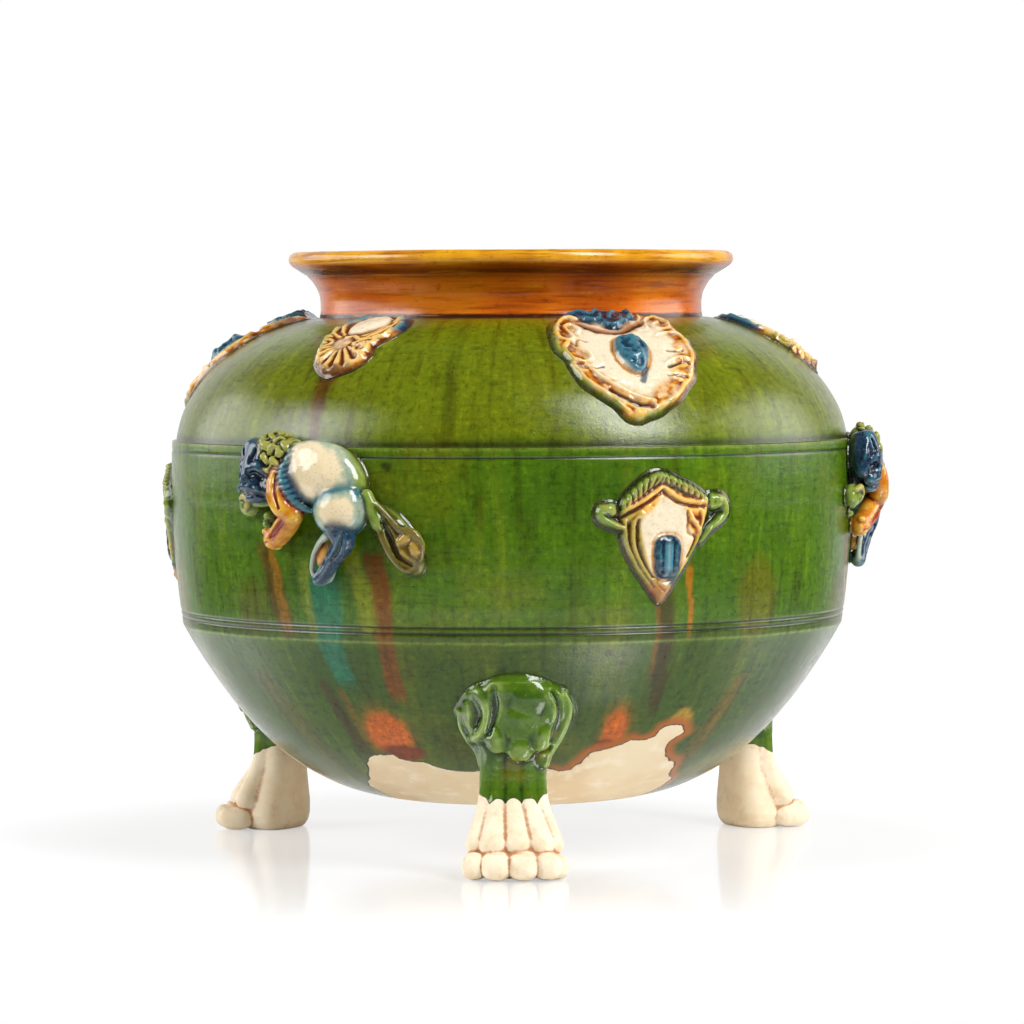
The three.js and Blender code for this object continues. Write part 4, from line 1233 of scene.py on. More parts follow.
# The first groove holds a dark stain, and the last one runs under the crest
MEDALLION_GROOVES = [
    ([(-12.6, -17.0), (-8.8, -19.8), (-4.6, -22.0), (-0.6, -23.0)], 1.0, 1.2),
    ([(-13.4, 4.4), (-15.6, 5.6), (-17.4, 2.4)], 0.8, 0.6),
    ([(-12.2, -7.6), (-15.4, -8.2), (-18.8, -8.4)], 0.8, 0.6),
    ([(9.8, -7.9), (15.4, -6.4), (18.2, -8.2)], 0.85, 0.9),
    ([(12.0, -0.6), (17.6, -0.9)], 0.8, 0.9),
    ([(8.6, -11.4), (12.6, -11.9), (14.8, -13.0)], 0.8, 0.7),
    ([(-10.8, 16.4), (-8.2, 12.2), (-4.2, 9.9), (1.8, 10.6), (6.4, 14.0), (10.4, 16.8)], 1.3, 0.75),
]
CREST_RIDGES = [
    ([(-9.4, 20.4), (-6.6, 17.6), (-3.4, 18.6), (-2.0, 21.6)], 0.9, 0.9),
    ([(-3.8, 14.6), (-0.6, 13.6), (2.8, 16.4), (4.4, 20.2)], 0.9, 1.0),
    ([(-8.6, 25.2), (-5.0, 22.8), (-1.6, 25.6)], 0.9, 0.8),
    ([(0.2, 19.6), (2.0, 23.0), (4.8, 25.8)], 0.9, 0.8),
    ([(6.4, 19.6), (8.8, 22.2), (8.4, 26.2)], 0.9, 0.9),
]


def ridges_on(u, v, ridges):
    return sum(ridge(u, v, curve_through(path, 5), width, height) for path, width, height in ridges)


def dome(depth, reach, height):
    """A rounded mound over the inside of an outline."""
    share = np.clip(depth / reach, 0, 1)
    return height * np.sqrt(1 - (1 - share) ** 2)


def flat_noise(u, v, size, seed):
    return lump_noise(np.column_stack([u.ravel(), v.ravel(), 0 * u.ravel()]), size, seed).reshape(u.shape)


def medallion_height(u, v):
    """A plain sunk field in a scrolled border, with a faceted boss and a foliate crest."""
    depth = depth_inside(u, v, MEDALLION_OUTLINE)
    height = 0.80 + 0.55 * hill(depth - 2.8, 3.6) + ridges_on(u, v, MEDALLION_RIDGES)
    height -= ridges_on(u, v, MEDALLION_GROOVES)
    height += 1.0 * hill(np.hypot(u + 5.4, v + 25.0), 2.4) - 0.3 * hill(np.hypot(u + 5.4, v + 22.2), 1.2)
    crest = depth_inside(u, v, MEDALLION_CREST)
    height += 1.1 * ramp(-0.4, 1.4, crest)
    height += ramp(-0.2, 0.8, crest) * (ridges_on(u, v, CREST_RIDGES) + 0.3 * flat_noise(u, v, 2.2, 71))
    boss = depth_inside(u, v, MEDALLION_BOSS)
    facets = 1.0 * flat_noise(u, v, 2.8, 73) + 0.45 * flat_noise(u, v, 1.5, 75)
    height += dome(boss, 4.6, 3.0) + facets * ramp(0.2, 2.4, boss) - 0.35 * hill(boss + 0.6, 0.9)
    height += 0.20 * flat_noise(u, v, 2.6, 77) + 0.10 * flat_noise(u, v, 1.2, 79)
    return side_wall(depth, height)


def groove_distance(u, v, number):
    return line_distance(u, v, curve_through(MEDALLION_GROOVES[number][0]))


def medallion_colours(u, v, h, hollow, places, seed):
    """Cream field, amber scrolls, green creeping in from the left and blue on the boss and crest."""
    waver = rough_noise(places * [1, 1, 0], 5, seed)
    fine = rough_noise(places, 2, seed + 3)
    depth = depth_inside(u, v, MEDALLION_OUTLINE)
    boss = depth_inside(u, v, MEDALLION_BOSS)
    crest = depth_inside(u, v, MEDALLION_CREST)
    under_crest = groove_distance(u, v, -1) + 0.8 * waver
    stained = groove_distance(u, v, 0) + 0.5 * waver
    amber = glaze_by_depth("amber", hollow + 0.07 * waver, -0.02, 0.16)
    cream = glaze_by_depth("cream", hollow, 0.04, 0.30)
    green = glaze_by_depth("green", hollow, 0.0, 0.2)
    blue = glaze_by_depth("blue", hollow + 0.10 * fine, -0.04, 0.20)
    moss = mixed(green, (0.24, 0.27, 0.03), ramp(0.0, -0.18, hollow))
    border = ramp(8.4, 5.0, depth + 2.4 * waver)
    creep = ramp(3.0, 0.2, depth + 2.0 * waver) * ramp(2, -9, u * 0.8 + v * 0.45)
    side = (u + 5.4) * 0.93 + (v + 5.6) * 0.36 + 1.6 * waver
    dabbed = ramp(-0.4, 0.6, boss + 0.4 * fine) * ramp(-1.0, 0.9, side)
    drip = ramp(1.5, 0.6, line_distance(u, v, [(1.6, -8), (-0.9, -13.6)]) + 0.4 * fine)
    return painted(
        cream,
        (amber, border * (0.62 + 0.38 * ramp(-0.4, 0.1, waver + 2.0 * fine))),
        ((0.80, 0.50, 0.13), 0.30 * ramp(10, 6, depth + 2 * waver) * (1 - border)),
        (moss, 0.92 * creep),
        ((0.34, 0.085, 0.006), 0.9 * ramp(2.8, 0.8, under_crest)),
        ((0.16, 0.045, 0.035), 0.75 * ramp(1.6, 0.3, stained)),
        (mixed(blue, (0.010, 0.075, 0.125), 0.4), np.clip(dabbed + 0.85 * drip, 0, 1)),
        (mixed(blue, (0.008, 0.022, 0.045), 0.35), ramp(-1.0, 0.3, crest + 0.9 * waver)),
    )


# The small palmette
PALMETTE_ANCHOR = (-36, SKIN_END - 22)
PALMETTE_OUTLINE = closed_curve([
    (4.2, 18.6), (-2.6, 17.4), (-6.2, 12.0), (-8.8, 7.2), (-10.0, 2.4), (-9.8, -3), (-8.2, -8.0),
    (-6.4, -12.6), (-2.6, -16.6), (1.6, -18.8), (5.2, -18.2), (9.0, -16.4), (11.8, -13.4), (12.8, -9.6),
    (11.6, -5.8), (12.6, -2.6), (14.6, 1.6), (14.8, 7.2), (12.6, 13.2), (9.4, 17.4),
])
FAN_HINGE = (0.2, -4.4)
ALMOND_PLACE = (2.2, 7.6)
ALMOND_TURN = -26
PALMETTE_STEMS = [
    [(-2.6, 0.4), (-5.8, 4.0), (-6.4, 9.0), (-3.0, 14.2)],
    [(6.4, -3.6), (8.8, 0.4), (11.4, 5.4), (10.4, 11.6)],
    [(4.6, -5.0), (8.4, -2.6), (12.2, -0.6), (12.6, 3.6)],
    [(-0.6, -1.6), (1.8, -0.6), (4.6, -2.4)],
    [(-3.6, -1.2), (-7.2, 0.8), (-8.4, 4.4)],
]


def palmette_height(u, v):
    """A fluted fan at the tip, curls at the waist, and an almond between stems above."""
    depth = depth_inside(u, v, PALMETTE_OUTLINE)
    height = 1.15 + 0.5 * hill(depth - 1.9, 1.5)
    off_u, off_v = u - FAN_HINGE[0], v - FAN_HINGE[1]
    away, angle = np.hypot(off_u, off_v), np.degrees(np.arctan2(off_u, -off_v))
    fan = ramp(3.0, 5.6, away) * ramp(15.5, 12.6, away) * ramp(84, 68, np.abs(angle - 12))
    height += fan * (0.35 + 0.50 * np.cos(angle * np.pi / 9.5))
    for hand, centre in ((1, (8.4, -7.8)), (-1, (-6.2, -4.6))):
        height += ridge(u, v, spiral(centre, 3.3, 1.5, 100, -hand), 0.8, 0.85)
    almond = oval(u, v, ALMOND_PLACE, (4.8, 7.4), ALMOND_TURN)
    height += 1.3 * np.sqrt(np.clip(1 - almond**2, 0, 1)) - 0.55 * hill(almond - 1.16, 0.2)
    for stem in PALMETTE_STEMS:
        height += ridge(u, v, curve_through(stem), 0.9, 0.75)
    height += ridge(u, v, spiral((9.2, 12.2), 2.4, 1.2, -90), 0.75, 0.7)
    return side_wall(depth, height + 0.16 * flat_noise(u, v, 2.2, 87) + 0.08 * flat_noise(u, v, 1.1, 89))


def palmette_colours(u, v, h, hollow, places, seed):
    """Amber shell and scrolls, a cream almond and patch, a dark blue top and a brown tip."""
    waver = rough_noise(places * [1, 1, 0], 4, seed)
    amber = glaze_by_depth("amber", hollow + 0.06 * waver, -0.05, 0.13)
    cream = glaze_by_depth("cream", hollow, 0.03, 0.3)
    blue = glaze_by_depth("blue", hollow, -0.03, 0.2)
    olive = glaze_by_depth("olive", hollow, -0.02, 0.2)
    almond = oval(u, v, ALMOND_PLACE, (5.0, 7.6), ALMOND_TURN)
    patch = np.hypot(u + 0.6, v + 5.0) + waver * 2
    edge = ramp(3.8, 1.2, depth_inside(u, v, PALMETTE_OUTLINE) + waver)
    low_left = ramp(3, -3, u) * ramp(4, -2, v + 2 * waver) * (v > -9)
    return painted(
        amber,
        ((0.82, 0.62, 0.26), 0.55 * ramp(0.02, -0.16, hollow + 0.05 * waver)),
        (cream, ramp(1.15, 0.85, almond + 0.2 * waver)),
        (cream, 0.45 * ramp(4.5, 2.5, patch)),
        (blue, edge * ramp(1, 6, v + 3 * waver)),
        (olive, 0.85 * edge * low_left),
        ((0.12, 0.030, 0.008), 0.85 * ramp(-13.0, -17.0, v + 1.5 * waver) * edge),
    )


# The pendant on the band
PENDANT_ANCHOR = (25, length_at(BOWL_RIM_HEIGHT + 33))
SHIELD = closed_curve([
    (-2.8, 19.4), (-7.0, 18.2), (-11.2, 14.9), (-14.4, 11.6), (-15.9, 7.4), (-15.6, 2.1), (-14.0, -4.1),
    (-10.7, -10.0), (-6.6, -15.6), (-3.4, -19.6), (-1.6, -20.9), (0.4, -19.0), (3.8, -14.2), (8.2, -7.4),
    (11.6, -1.3), (13.8, 4.6), (14.8, 8.4), (13.6, 11.9), (8.4, 15.2), (3.8, 17.2), (0.2, 18.9),
])
INNER_FIELD = closed_curve([
    (-2.1, 11.4), (-5.0, 7.9), (-8.6, 5.8), (-9.2, 1.9), (-8.5, -2.2), (-7.1, -7.6), (-4.6, -12.4),
    (-0.6, -16.0), (3.4, -11.6), (6.9, -4.4), (8.2, -0.6), (6.3, 2.9), (5.3, 7.6), (1.6, 9.3),
])
CABOCHON = ((-0.3, -6.7), (4.5, 6.6))
GABLE = curve_through([
    (-15.2, 7.0), (-8.6, 10.6), (-4.0, 13.2), (-2.1, 14.6), (0.4, 12.8), (5.3, 10.4), (13.6, 9.6),
])
CAP = curve_through([
    (-14.6, 9.6), (-10.7, 12.6), (-6.5, 15.7), (-2.1, 17.4), (2.3, 16.3), (8.4, 13.5), (13.2, 11.1),
])
PENDANT_RIDGES = [
    # path, width, height
    ([(-8.9, 6.6), (-11.4, 3.3), (-11.2, -3.0), (-8.4, -9.2), (-4.9, -14.1), (-1.6, -18.0)], 0.95, 0.55),
    ([(5.6, 8.4), (8.2, 4.4), (10.6, 1.4), (10.0, -2.6), (6.4, -8.4), (2.2, -14.6)], 0.95, 0.6),
    ([(10.8, 8.8), (12.2, 4.4), (10.9, 0.0)], 0.8, 0.45),
    ([(-14.0, 4.4), (-13.6, -1.6), (-10.4, -8.4)], 0.8, 0.5),
]
PENDANT_GROOVES = [
    ([(-15.0, 5.6), (-8.6, 8.9), (-3.6, 12.2), (-2.0, 13.2), (-0.3, 11.6), (5.3, 8.9), (12.6, 8.2)],
     0.8, 0.75),
    ([(-10.0, 4.6), (-10.2, -2.6), (-7.8, -8.6), (-4.9, -12.9)], 0.75, 0.55),
    ([(-12.9, 3.6), (-12.6, -2.6), (-9.6, -8.8), (-4.2, -15.8)], 0.75, 0.5),
    ([(6.2, 7.2), (6.6, 0.8), (9.2, -1.4), (6.6, -7.0)], 0.75, 0.65),
]
HOOKS = [
    # path, half width at its start and at its end
    ([(-14.0, 2.2), (-17.4, 3.4), (-20.6, 5.2), (-21.0, 7.4), (-18.6, 7.6)], 1.3, 2.5),
    ([(11.8, -2.2), (14.8, 1.3), (18.2, 3.6), (20.4, 6.2), (19.4, 9.4), (16.2, 9.6)], 1.1, 2.9),
]


def stone_reach(u, v):
    """0 at the middle of the cabochon, a rounded oblong that narrows downwards, and 1 at its edge."""
    (middle, height), (half_width, half_height) = CABOCHON
    across = (u - middle) / (half_width + 0.06 * (v - height))
    return (np.abs(across) ** 3 + np.abs((v - height) / half_height) ** 3) ** (1 / 3)


def above_gable(u, v):
    return v - np.interp(u, *GABLE.T)


def stone_lines(u, width):
    """Two upright lines in the cabochon."""
    return hill(u + 2.2, width) + hill(u - 1.6, width)


def pendant_height(u, v):
    """A pointed shield under a gable and a beaded cap, domed round a cabochon, with a hook on each side."""
    depth = depth_inside(u, v, SHIELD)
    inner = depth_inside(u, v, INNER_FIELD)
    height = 1.15 + dome(depth, 11, 1.0) + 0.25 * hill(inner, 1.0)
    height += ridges_on(u, v, PENDANT_RIDGES) - ridges_on(u, v, PENDANT_GROOVES)
    height += ridge(u, v, GABLE, 0.95, 0.75)
    above = ramp(-0.4, 1.0, above_gable(u, v))
    off = line_distance(u, v, CAP)
    beads = np.cos((u + 0.8 * flat_noise(u, v, 3.5, 95)) * 2 * np.pi / 1.9)
    height += above * hill(off, 2.3) * (0.75 + 0.5 * beads)
    height -= above * 0.5 * hill(off - 2.1, 0.7)
    height += 0.9 * hill(np.hypot(u + 3.4, (v - 18.4) * 1.4), 3.2)
    reach = stone_reach(u, v)
    height += 1.3 * np.sqrt(np.clip(1 - reach**3, 0, 1)) - 0.3 * hill(reach - 1.12, 0.14)
    height -= 0.45 * stone_lines(u, 0.7) * ramp(0.85, 0.6, reach)
    height += 0.18 * flat_noise(u, v, 2.4, 97) + 0.10 * flat_noise(u, v, 1.2, 99)
    body = side_wall(depth, height)
    for path, start, end in HOOKS:
        line = curve_through(path)
        ends = zip(line, line[1:], np.linspace(start, end, len(line)))
        off = np.min([line_distance(u, v, [a, b]) - half for a, b, half in ends], axis=0)
        hook = side_wall(-off, 0.9 + dome(-off, 2.4, 1.3) + 0.35 * flat_noise(u, v, 1.6, 103))
        body = np.maximum(body, hook)
    return body


def pendant_colours(u, v, h, hollow, places, seed):
    """Amber frame with brown grooves, a cream field, a blue cabochon, and green hooks and flanks."""
    waver = rough_noise(places * [1, 1, 0], 4, seed)
    depth = depth_inside(u, v, SHIELD)
    inner = depth_inside(u, v, INNER_FIELD)
    amber = glaze_by_depth("amber", hollow + 0.06 * waver, -0.04, 0.13)
    cream = glaze_by_depth("cream", hollow, 0.04, 0.35)
    green = glaze_by_depth("green", hollow, -0.02, 0.18)
    olive = glaze_by_depth("olive", hollow, -0.02, 0.2)
    blue = glaze_by_depth("blue", hollow, -0.12, 0.10)
    above = ramp(-0.1, 0.8, above_gable(u, v) + 0.4 * waver)
    flank = ramp(-3, -9, u + 0.55 * v + 2.2 * waver) * ramp(1.0, -0.6, inner) * (1 - above)
    cap = painted(
        olive,
        (amber, ramp(1, 8, u + 3 * waver) * 0.6),
        ((0.030, 0.028, 0.003), ramp(-0.02, 0.14, hollow)),
    )
    reach = stone_reach(u, v)
    dark_ring = ramp(0.45, 0.8, reach) + 0.7 * stone_lines(u, 0.9)
    stone = painted(
        blue,
        ((0.004, 0.026, 0.050), np.clip(0.85 * dark_ring, 0, 1)),
        ((0.26, 0.38, 0.38), 0.7 * hill(u + 0.3, 0.6) * ramp(0.8, 0.4, reach)),
    )
    drip = np.hypot(u - 1.6, (v + 13.6) * 0.8) + 0.8 * waver
    return painted(
        green,
        (amber, ramp(0.2, 2.2, depth + 1.3 * waver)),
        (cream, ramp(-0.9, 0.9, inner + 1.0 * waver)),
        (olive, 0.8 * flank),
        (cap, above * ramp(0.8, 2.4, above_gable(u, v))),
        (green, 0.8 * above * ramp(3.0, 1.2, depth)),
        (mixed(amber, (0.20, 0.045, 0.035), 0.65), ramp(-13.0, -17.0, v + waver)),
        (stone, ramp(1.10, 0.98, reach + 0.08 * waver)),
        ((0.012, 0.07, 0.085), 0.8 * ramp(2.4, 1.2, drip)),
        (mixed(green, olive, ramp(-0.1, 0.5, waver)), ramp(0.1, -0.7, depth)),
    )


medallion = relief_mesh((-27, -30), (26, 29.6), medallion_height)
palmette = relief_mesh((-12.5, -21), (17, 20.5), palmette_height)
pendant = relief_mesh((-26, -23), (27, 22), pendant_height)
place_sprigs("medallion", "shoulder_medallion", MEDALLION_ANCHOR, medallion, medallion_colours)
place_sprigs("palmette", "shoulder_palmette", PALMETTE_ANCHOR, palmette, palmette_colours)
place_sprigs("pendant", "band_pendant", PENDANT_ANCHOR, pendant, pendant_colours)


# The lion on the band
LION_ANCHOR = (-33, length_at(BOWL_RIM_HEIGHT + 42))

# Place and size
MANE_CURLS = [
    (-15.8, 20.2, 5.4, 1.3), (-13.2, 21.5, 5.2, 1.4), (-10.4, 21.4, 4.6, 1.3), (-7.6, 20.4, 4.4, 1.4),
    (-5.0, 19.0, 4.2, 1.2), (-14.6, 18.2, 7.2, 1.3), (-11.8, 19.2, 7.0, 1.4), (-9.0, 18.6, 6.8, 1.3),
    (-6.4, 17.2, 6.2, 1.3), (-3.6, 16.8, 4.6, 1.1), (-13.0, 16.2, 8.4, 1.3), (-10.2, 16.2, 8.2, 1.4),
    (-7.6, 15.0, 7.8, 1.3), (-11.6, 13.8, 9.0, 1.2), (-9.0, 12.8, 8.6, 1.3), (-10.4, 11.0, 8.8, 1.1),
    (-8.6, 9.6, 8.4, 1.0), (-6.0, 13.0, 6.8, 1.0),
]
STRAP = [(-4.0, 14.6, 6.2), (-5.4, 10.8, 7.6), (-4.8, 6.6, 8.4), (-1.6, 1.2, 7.6), (2.4, -1.4, 5.6)]
PAW_TOES = [(-15.9, -8.2, 3.8), (-16.0, -10.4, 3.6), (-14.4, -12.2, 3.2), (-12.4, -12.6, 2.8)]

# How much flatter the head is pressed than it is laid out below
HEAD_PRESS = 1.22

# Forms in the order of their joins: an egg's centre or a rod's path, radii, turn and softness of the join
HEAD_FORMS = [
    # skull, forehead and muzzle
    ((-17.2, 11.6, 5.0), (7.4, 8.2, 6.2), 0, 0),
    ((-17.4, 14.8, 7.8), (5.6, 4.4, 3.5), 0, 1.2),
    ((-18.4, 6.4, 8.8), (4.5, 3.4, 3.9), 10, 1.2),
    # brows, bridge and tip of the nose
    ([(-22.6, 10.2, 8.2), (-20.0, 11.8, 10.6), (-17.2, 11.2, 11.4)], (1.2, 1.6, 1.2), 0, 0.6),
    ([(-17.2, 11.2, 11.4), (-14.2, 11.6, 10.8), (-11.6, 9.2, 8.8)], (1.2, 1.7, 1.2), 0, 0.6),
    ([(-18.0, 17.8, 8.6), (-18.3, 13.8, 10.6), (-18.8, 9.0, 12.0)], (0.9, 1.2, 1.3), 0, 0.7),
    ((-19.0, 7.4, 11.4), (2.4, 1.5, 1.5), 0, 0.5),
    # whisker pads, chin, cheeks and the folds beside the face
    ((-21.6, 5.2, 8.6), (2.3, 2.3, 2.7), 0, 0.6),
    ((-15.6, 4.8, 9.6), (2.5, 2.2, 2.6), 0, 0.6),
    ((-17.0, 2.4, 7.8), (4.3, 1.9, 3.2), 6, 0.5),
    ((-12.4, 5.4, 7.4), (2.5, 4.2, 3.4), 14, 0.7),
    ((-23.2, 8.4, 6.0), (1.9, 3.2, 3.2), 0, 0.6),
    ([(-14.0, 16.0, 9.0), (-12.0, 12.4, 9.2), (-11.4, 8.6, 9.0), (-12.6, 3.4, 8.4)],
     (0.9, 1.1, 1.1, 0.8), 0, 0.5),
    ([(-21.4, 16.0, 7.6), (-23.4, 12.8, 7.6), (-24.2, 9.8, 6.4)], (0.9, 1.1, 0.8), 0, 0.5),
]

# Cuts, as an egg's centre or a rod's path, and radii: eyes, mouth, nostrils and the furrows of the brow
HEAD_CUTS = [
    ([(-22.4, 8.6, 9.4), (-21.0, 9.4, 10.6), (-20.0, 8.4, 11.0)], (0.6, 0.8, 0.5)),
    ([(-17.0, 8.6, 11.6), (-15.4, 9.3, 11.4), (-13.6, 8.0, 10.2)], (0.5, 0.9, 0.6)),
    ([(-22.6, 3.6, 8.2), (-20.8, 3.9, 11.2), (-18.2, 4.2, 12.7), (-15.4, 3.6, 11.8), (-13.2, 2.8, 9.4)],
     (0.5, 0.6, 0.8, 0.6, 0.5)),
    ((-20.1, 6.7, 12.4), (0.6, 0.5, 0.8)),
    ((-18.0, 6.6, 12.6), (0.6, 0.5, 0.8)),
    ([(-15.8, 18.4, 7.6), (-15.6, 15.6, 10.2), (-16.4, 13.2, 11.4)], (0.5, 0.6, 0.5)),
    ([(-20.6, 18.0, 6.8), (-20.8, 15.4, 9.8), (-20.0, 13.4, 10.9)], (0.5, 0.6, 0.5)),
]

# Forms of the body in the order of their joins, as for the head, with the glaze of each
BODY_FORMS = [
    # flank, shoulder, haunch, the mane's ground and the strap
    ((5.2, 9.6, 1.6), (14.4, 10.0, 7.8), -22, 1.0, "flank"),
    ((-3.0, 7.0, 3.2), (5.0, 9.6, 6.0), 14, 1.5, "blue"),
    ((11.4, -0.6, 3.2), (8.6, 9.2, 7.4), -22, 0.7, "haunch"),
    ((-9.6, 16.0, 3.6), (6.6, 5.6, 3.8), -20, 0.8, "mane"),
    (STRAP, (1.3, 1.9, 2.0, 1.4, 0.8), 0, 0.9, "strap"),
    # the near foreleg and its paw
    ([(-8.2, 11.0, 6.4), (-8.0, 5.6, 8.2), (-6.4, 0.4, 8.4), (-3.2, -2.6, 7.2)],
     (2.4, 3.1, 3.2, 3.0), 0, 0.7, "foreleg"),
    ([(-3.4, -3.0, 6.6), (-6.8, -6.0, 5.2), (-11.4, -9.4, 3.4)], (3.3, 3.6, 3.3), 0, 0.6, "foreleg"),
    ((-13.2, -10.0, 3.0), (4.2, 3.4, 3.2), 35, 0.5, "foreleg"),
    # the far foreleg, raised, with its paw, and drops of glaze under it
    ([(-9.6, 2.4, 4.6), (-15.6, 1.2, 3.6), (-21.0, 0.6, 2.8)], (2.2, 1.8, 1.7), 0, 0.8, "green"),
    ((-24.6, -0.2, 2.0), (3.9, 3.7, 2.9), 10, 0.6, "green"),
    ([(-26.8, 1.6, 3.6), (-24.4, 2.4, 4.6), (-22.6, 0.4, 4.6), (-24.2, -1.6, 4.4)],
     (0.9, 1.1, 1.0, 0.7), 0, 0.3, "olive"),
    ((-18.0, -3.6, 0.6), (1.8, 1.3, 1.6), 0, 0.5, "green"),
    ((-19.4, -6.2, 0.4), (1.2, 1.0, 1.2), 0, 0.5, "green"),
    # the hind leg, its paw, its pale edge and the amber ground inside that, and the root of the tail
    ([(12.2, -5.6, 6.0), (13.2, -10.4, 5.8), (9.4, -15.6, 4.4), (5.2, -20.4, 3.2)],
     (4.4, 3.6, 2.7, 2.4), 0, 0.7, "navy"),
    ((4.0, -21.6, 2.8), (3.7, 2.5, 2.6), 35, 0.4, "navy"),
    ([(7.2, -8.8, 4.6), (3.6, -11.4, 3.4), (0.9, -15.8, 2.8), (0.5, -20.2, 2.6), (2.8, -23.2, 2.4)],
     (1.3, 0.9, 0.8, 0.9, 1.1), 0, 0.4, "rind"),
    ([(2.8, -23.2, 2.4), (6.4, -22.4, 2.4), (8.6, -18.8, 2.6)], (1.0, 0.8, 0.6), 0, 0.4, "rind"),
    ((4.1, -14.8, 0.9), (2.7, 4.6, 2.3), -22, 0.4, "amber"),
    ([(20.0, 3.4, 3.4), (21.4, 0.0, 3.2), (23.4, -5.0, 2.6)], (2.0, 2.2, 2.4), 0, 0.6, "green"),
    # the tail's tuft, a hollow leaf with three beads
    ((28.8, -10.4, 0.6), (12.0, 5.6, 3.4), -56, 0.6, "tail"),
    ([(22.0, -2.2, 3.4), (24.6, -9.6, 2.8), (28.0, -16.2, 2.4), (31.4, -19.2, 1.9), (35.0, -18.0, 1.6)],
     (0.8, 0.9, 1.0, 1.0, 0.7), 0, 0.5, "tail"),
    ([(22.8, 0.6, 3.2), (27.0, -3.4, 3.0), (30.4, -6.6, 3.2), (34.0, -7.6, 3.4), (36.6, -11.0, 2.6),
      (36.2, -15.4, 1.8)], (1.2, 0.9, 1.0, 1.4, 1.2, 0.8), 0, 0.5, "tail"),
    ((31.8, -9.6, 3.2), (2.8, 1.6, 1.7), 35, 0.5, "gold"),
    ((34.6, -12.2, 2.8), (1.7, 2.8, 1.6), 10, 0.5, "gold"),
    ((31.0, -14.2, 2.6), (2.8, 1.3, 1.4), -50, 0.5, "gold"),
]

# Cuts round the haunch, in the tail, down the hind leg and the foreleg, and between the toes
BODY_CUTS = [
    ([(17.4, 9.4, 8.4), (10.4, 7.4, 9.6), (4.6, 3.0, 9.2), (1.4, -2.4, 7.2)], (0.4, 0.9, 0.9, 0.5)),
    ([(25.0, -4.6, 3.8), (27.2, -9.0, 3.4), (29.6, -14.4, 3.2), (33.2, -17.4, 3.0)], (0.7, 1.1, 1.1, 0.6)),
    ([(8.4, -14.0, 7.0), (5.6, -17.8, 5.8), (4.2, -19.6, 5.4)], (0.4, 0.6, 0.4)),
    ([(14.8, -7.6, 9.6), (13.0, -12.4, 8.6), (10.0, -15.6, 7.2)], (0.3, 0.6, 0.4)),
    ([(-7.2, 9.6, 9.6), (-6.6, 4.0, 11.2), (-5.2, -0.6, 11.0)], (0.4, 0.7, 0.4)),
    ([(-5.4, -4.6, 9.0), (-8.6, -7.0, 7.8), (-11.8, -9.4, 6.6)], (0.7, 1.1, 0.8)),
    ([(-16.8, -9.3, 5.4), (-14.6, -9.2, 6.6)], (0.4, 0.3)),
    ([(-15.8, -11.5, 4.8), (-13.8, -10.9, 6.0)], (0.4, 0.3)),
]


def joined_in_order(parts):
    """Fields joined one after another, each with its own softness."""
    whole = None
    for part, softness in parts:
        whole = part if whole is None else joined([whole, part], softness)
    return whole


def all_cuts(place, table, softness):
    return joined([form(place, *cut) for cut in table], softness)


def lion_head(place):
    """The lion's head, turned out from the wall: brow, deep-set eyes, broad snout, jowls and jaw."""
    head = joined_in_order((form(place, *shape), softness) for *shape, softness in HEAD_FORMS)
    return carved(head, all_cuts(place, HEAD_CUTS, 0.3), 0.5)


def lion_parts(place):
    """The lion's forms as (field, softness of its join, glaze)."""
    parts = [(form(place, *shape), softness, glaze) for *shape, softness, glaze in BODY_FORMS]
    u, v, h = place
    parts.append((lion_head([u, v, h * HEAD_PRESS]), 0.8, "head"))
    parts += [(egg(place, toe, (1.5, 1.2, 1.4)), 0.3, "foreleg") for toe in PAW_TOES]
    bent = [u + 0.6 * np.sin(1.9 * v), v + 0.6 * np.sin(1.7 * u + 0.8 * h), h]
    for *centre, size in MANE_CURLS:
        parts.append((egg(bent, centre, (size * 1.15, size * 0.9, size)), 0.5, "mane"))
    return parts


def lion_field(place):
    """The whole lion, with a ribbed strap, a hammered coat and a bead of glaze at its foot."""
    u, v, h = place
    whole = joined_in_order((part, softness) for part, softness, _ in lion_parts(place))
    whole = carved(whole, all_cuts(place, BODY_CUTS, 0.2), 0.6)
    strap = hill(np.maximum(rod(place, STRAP, 1.9), 0), 0.9) * ramp(-3, 6, v)
    whole = whole - 0.16 * strap * np.cos((v - 0.3 * u) * 2 * np.pi / 1.75)
    lumps = np.sin(u * 1.15 + 0.9 * np.sin(v * 0.8)) * np.sin(v * 1.05 + 0.8 * np.sin(h * 0.9 + u * 0.6))
    whole = whole - 0.07 * lumps * ramp(-2, 4, h)
    whole = joined([whole, np.maximum(whole - 0.8, h - 0.12)], 1.0)
    return np.maximum(whole, RELIEF_BACK - h)


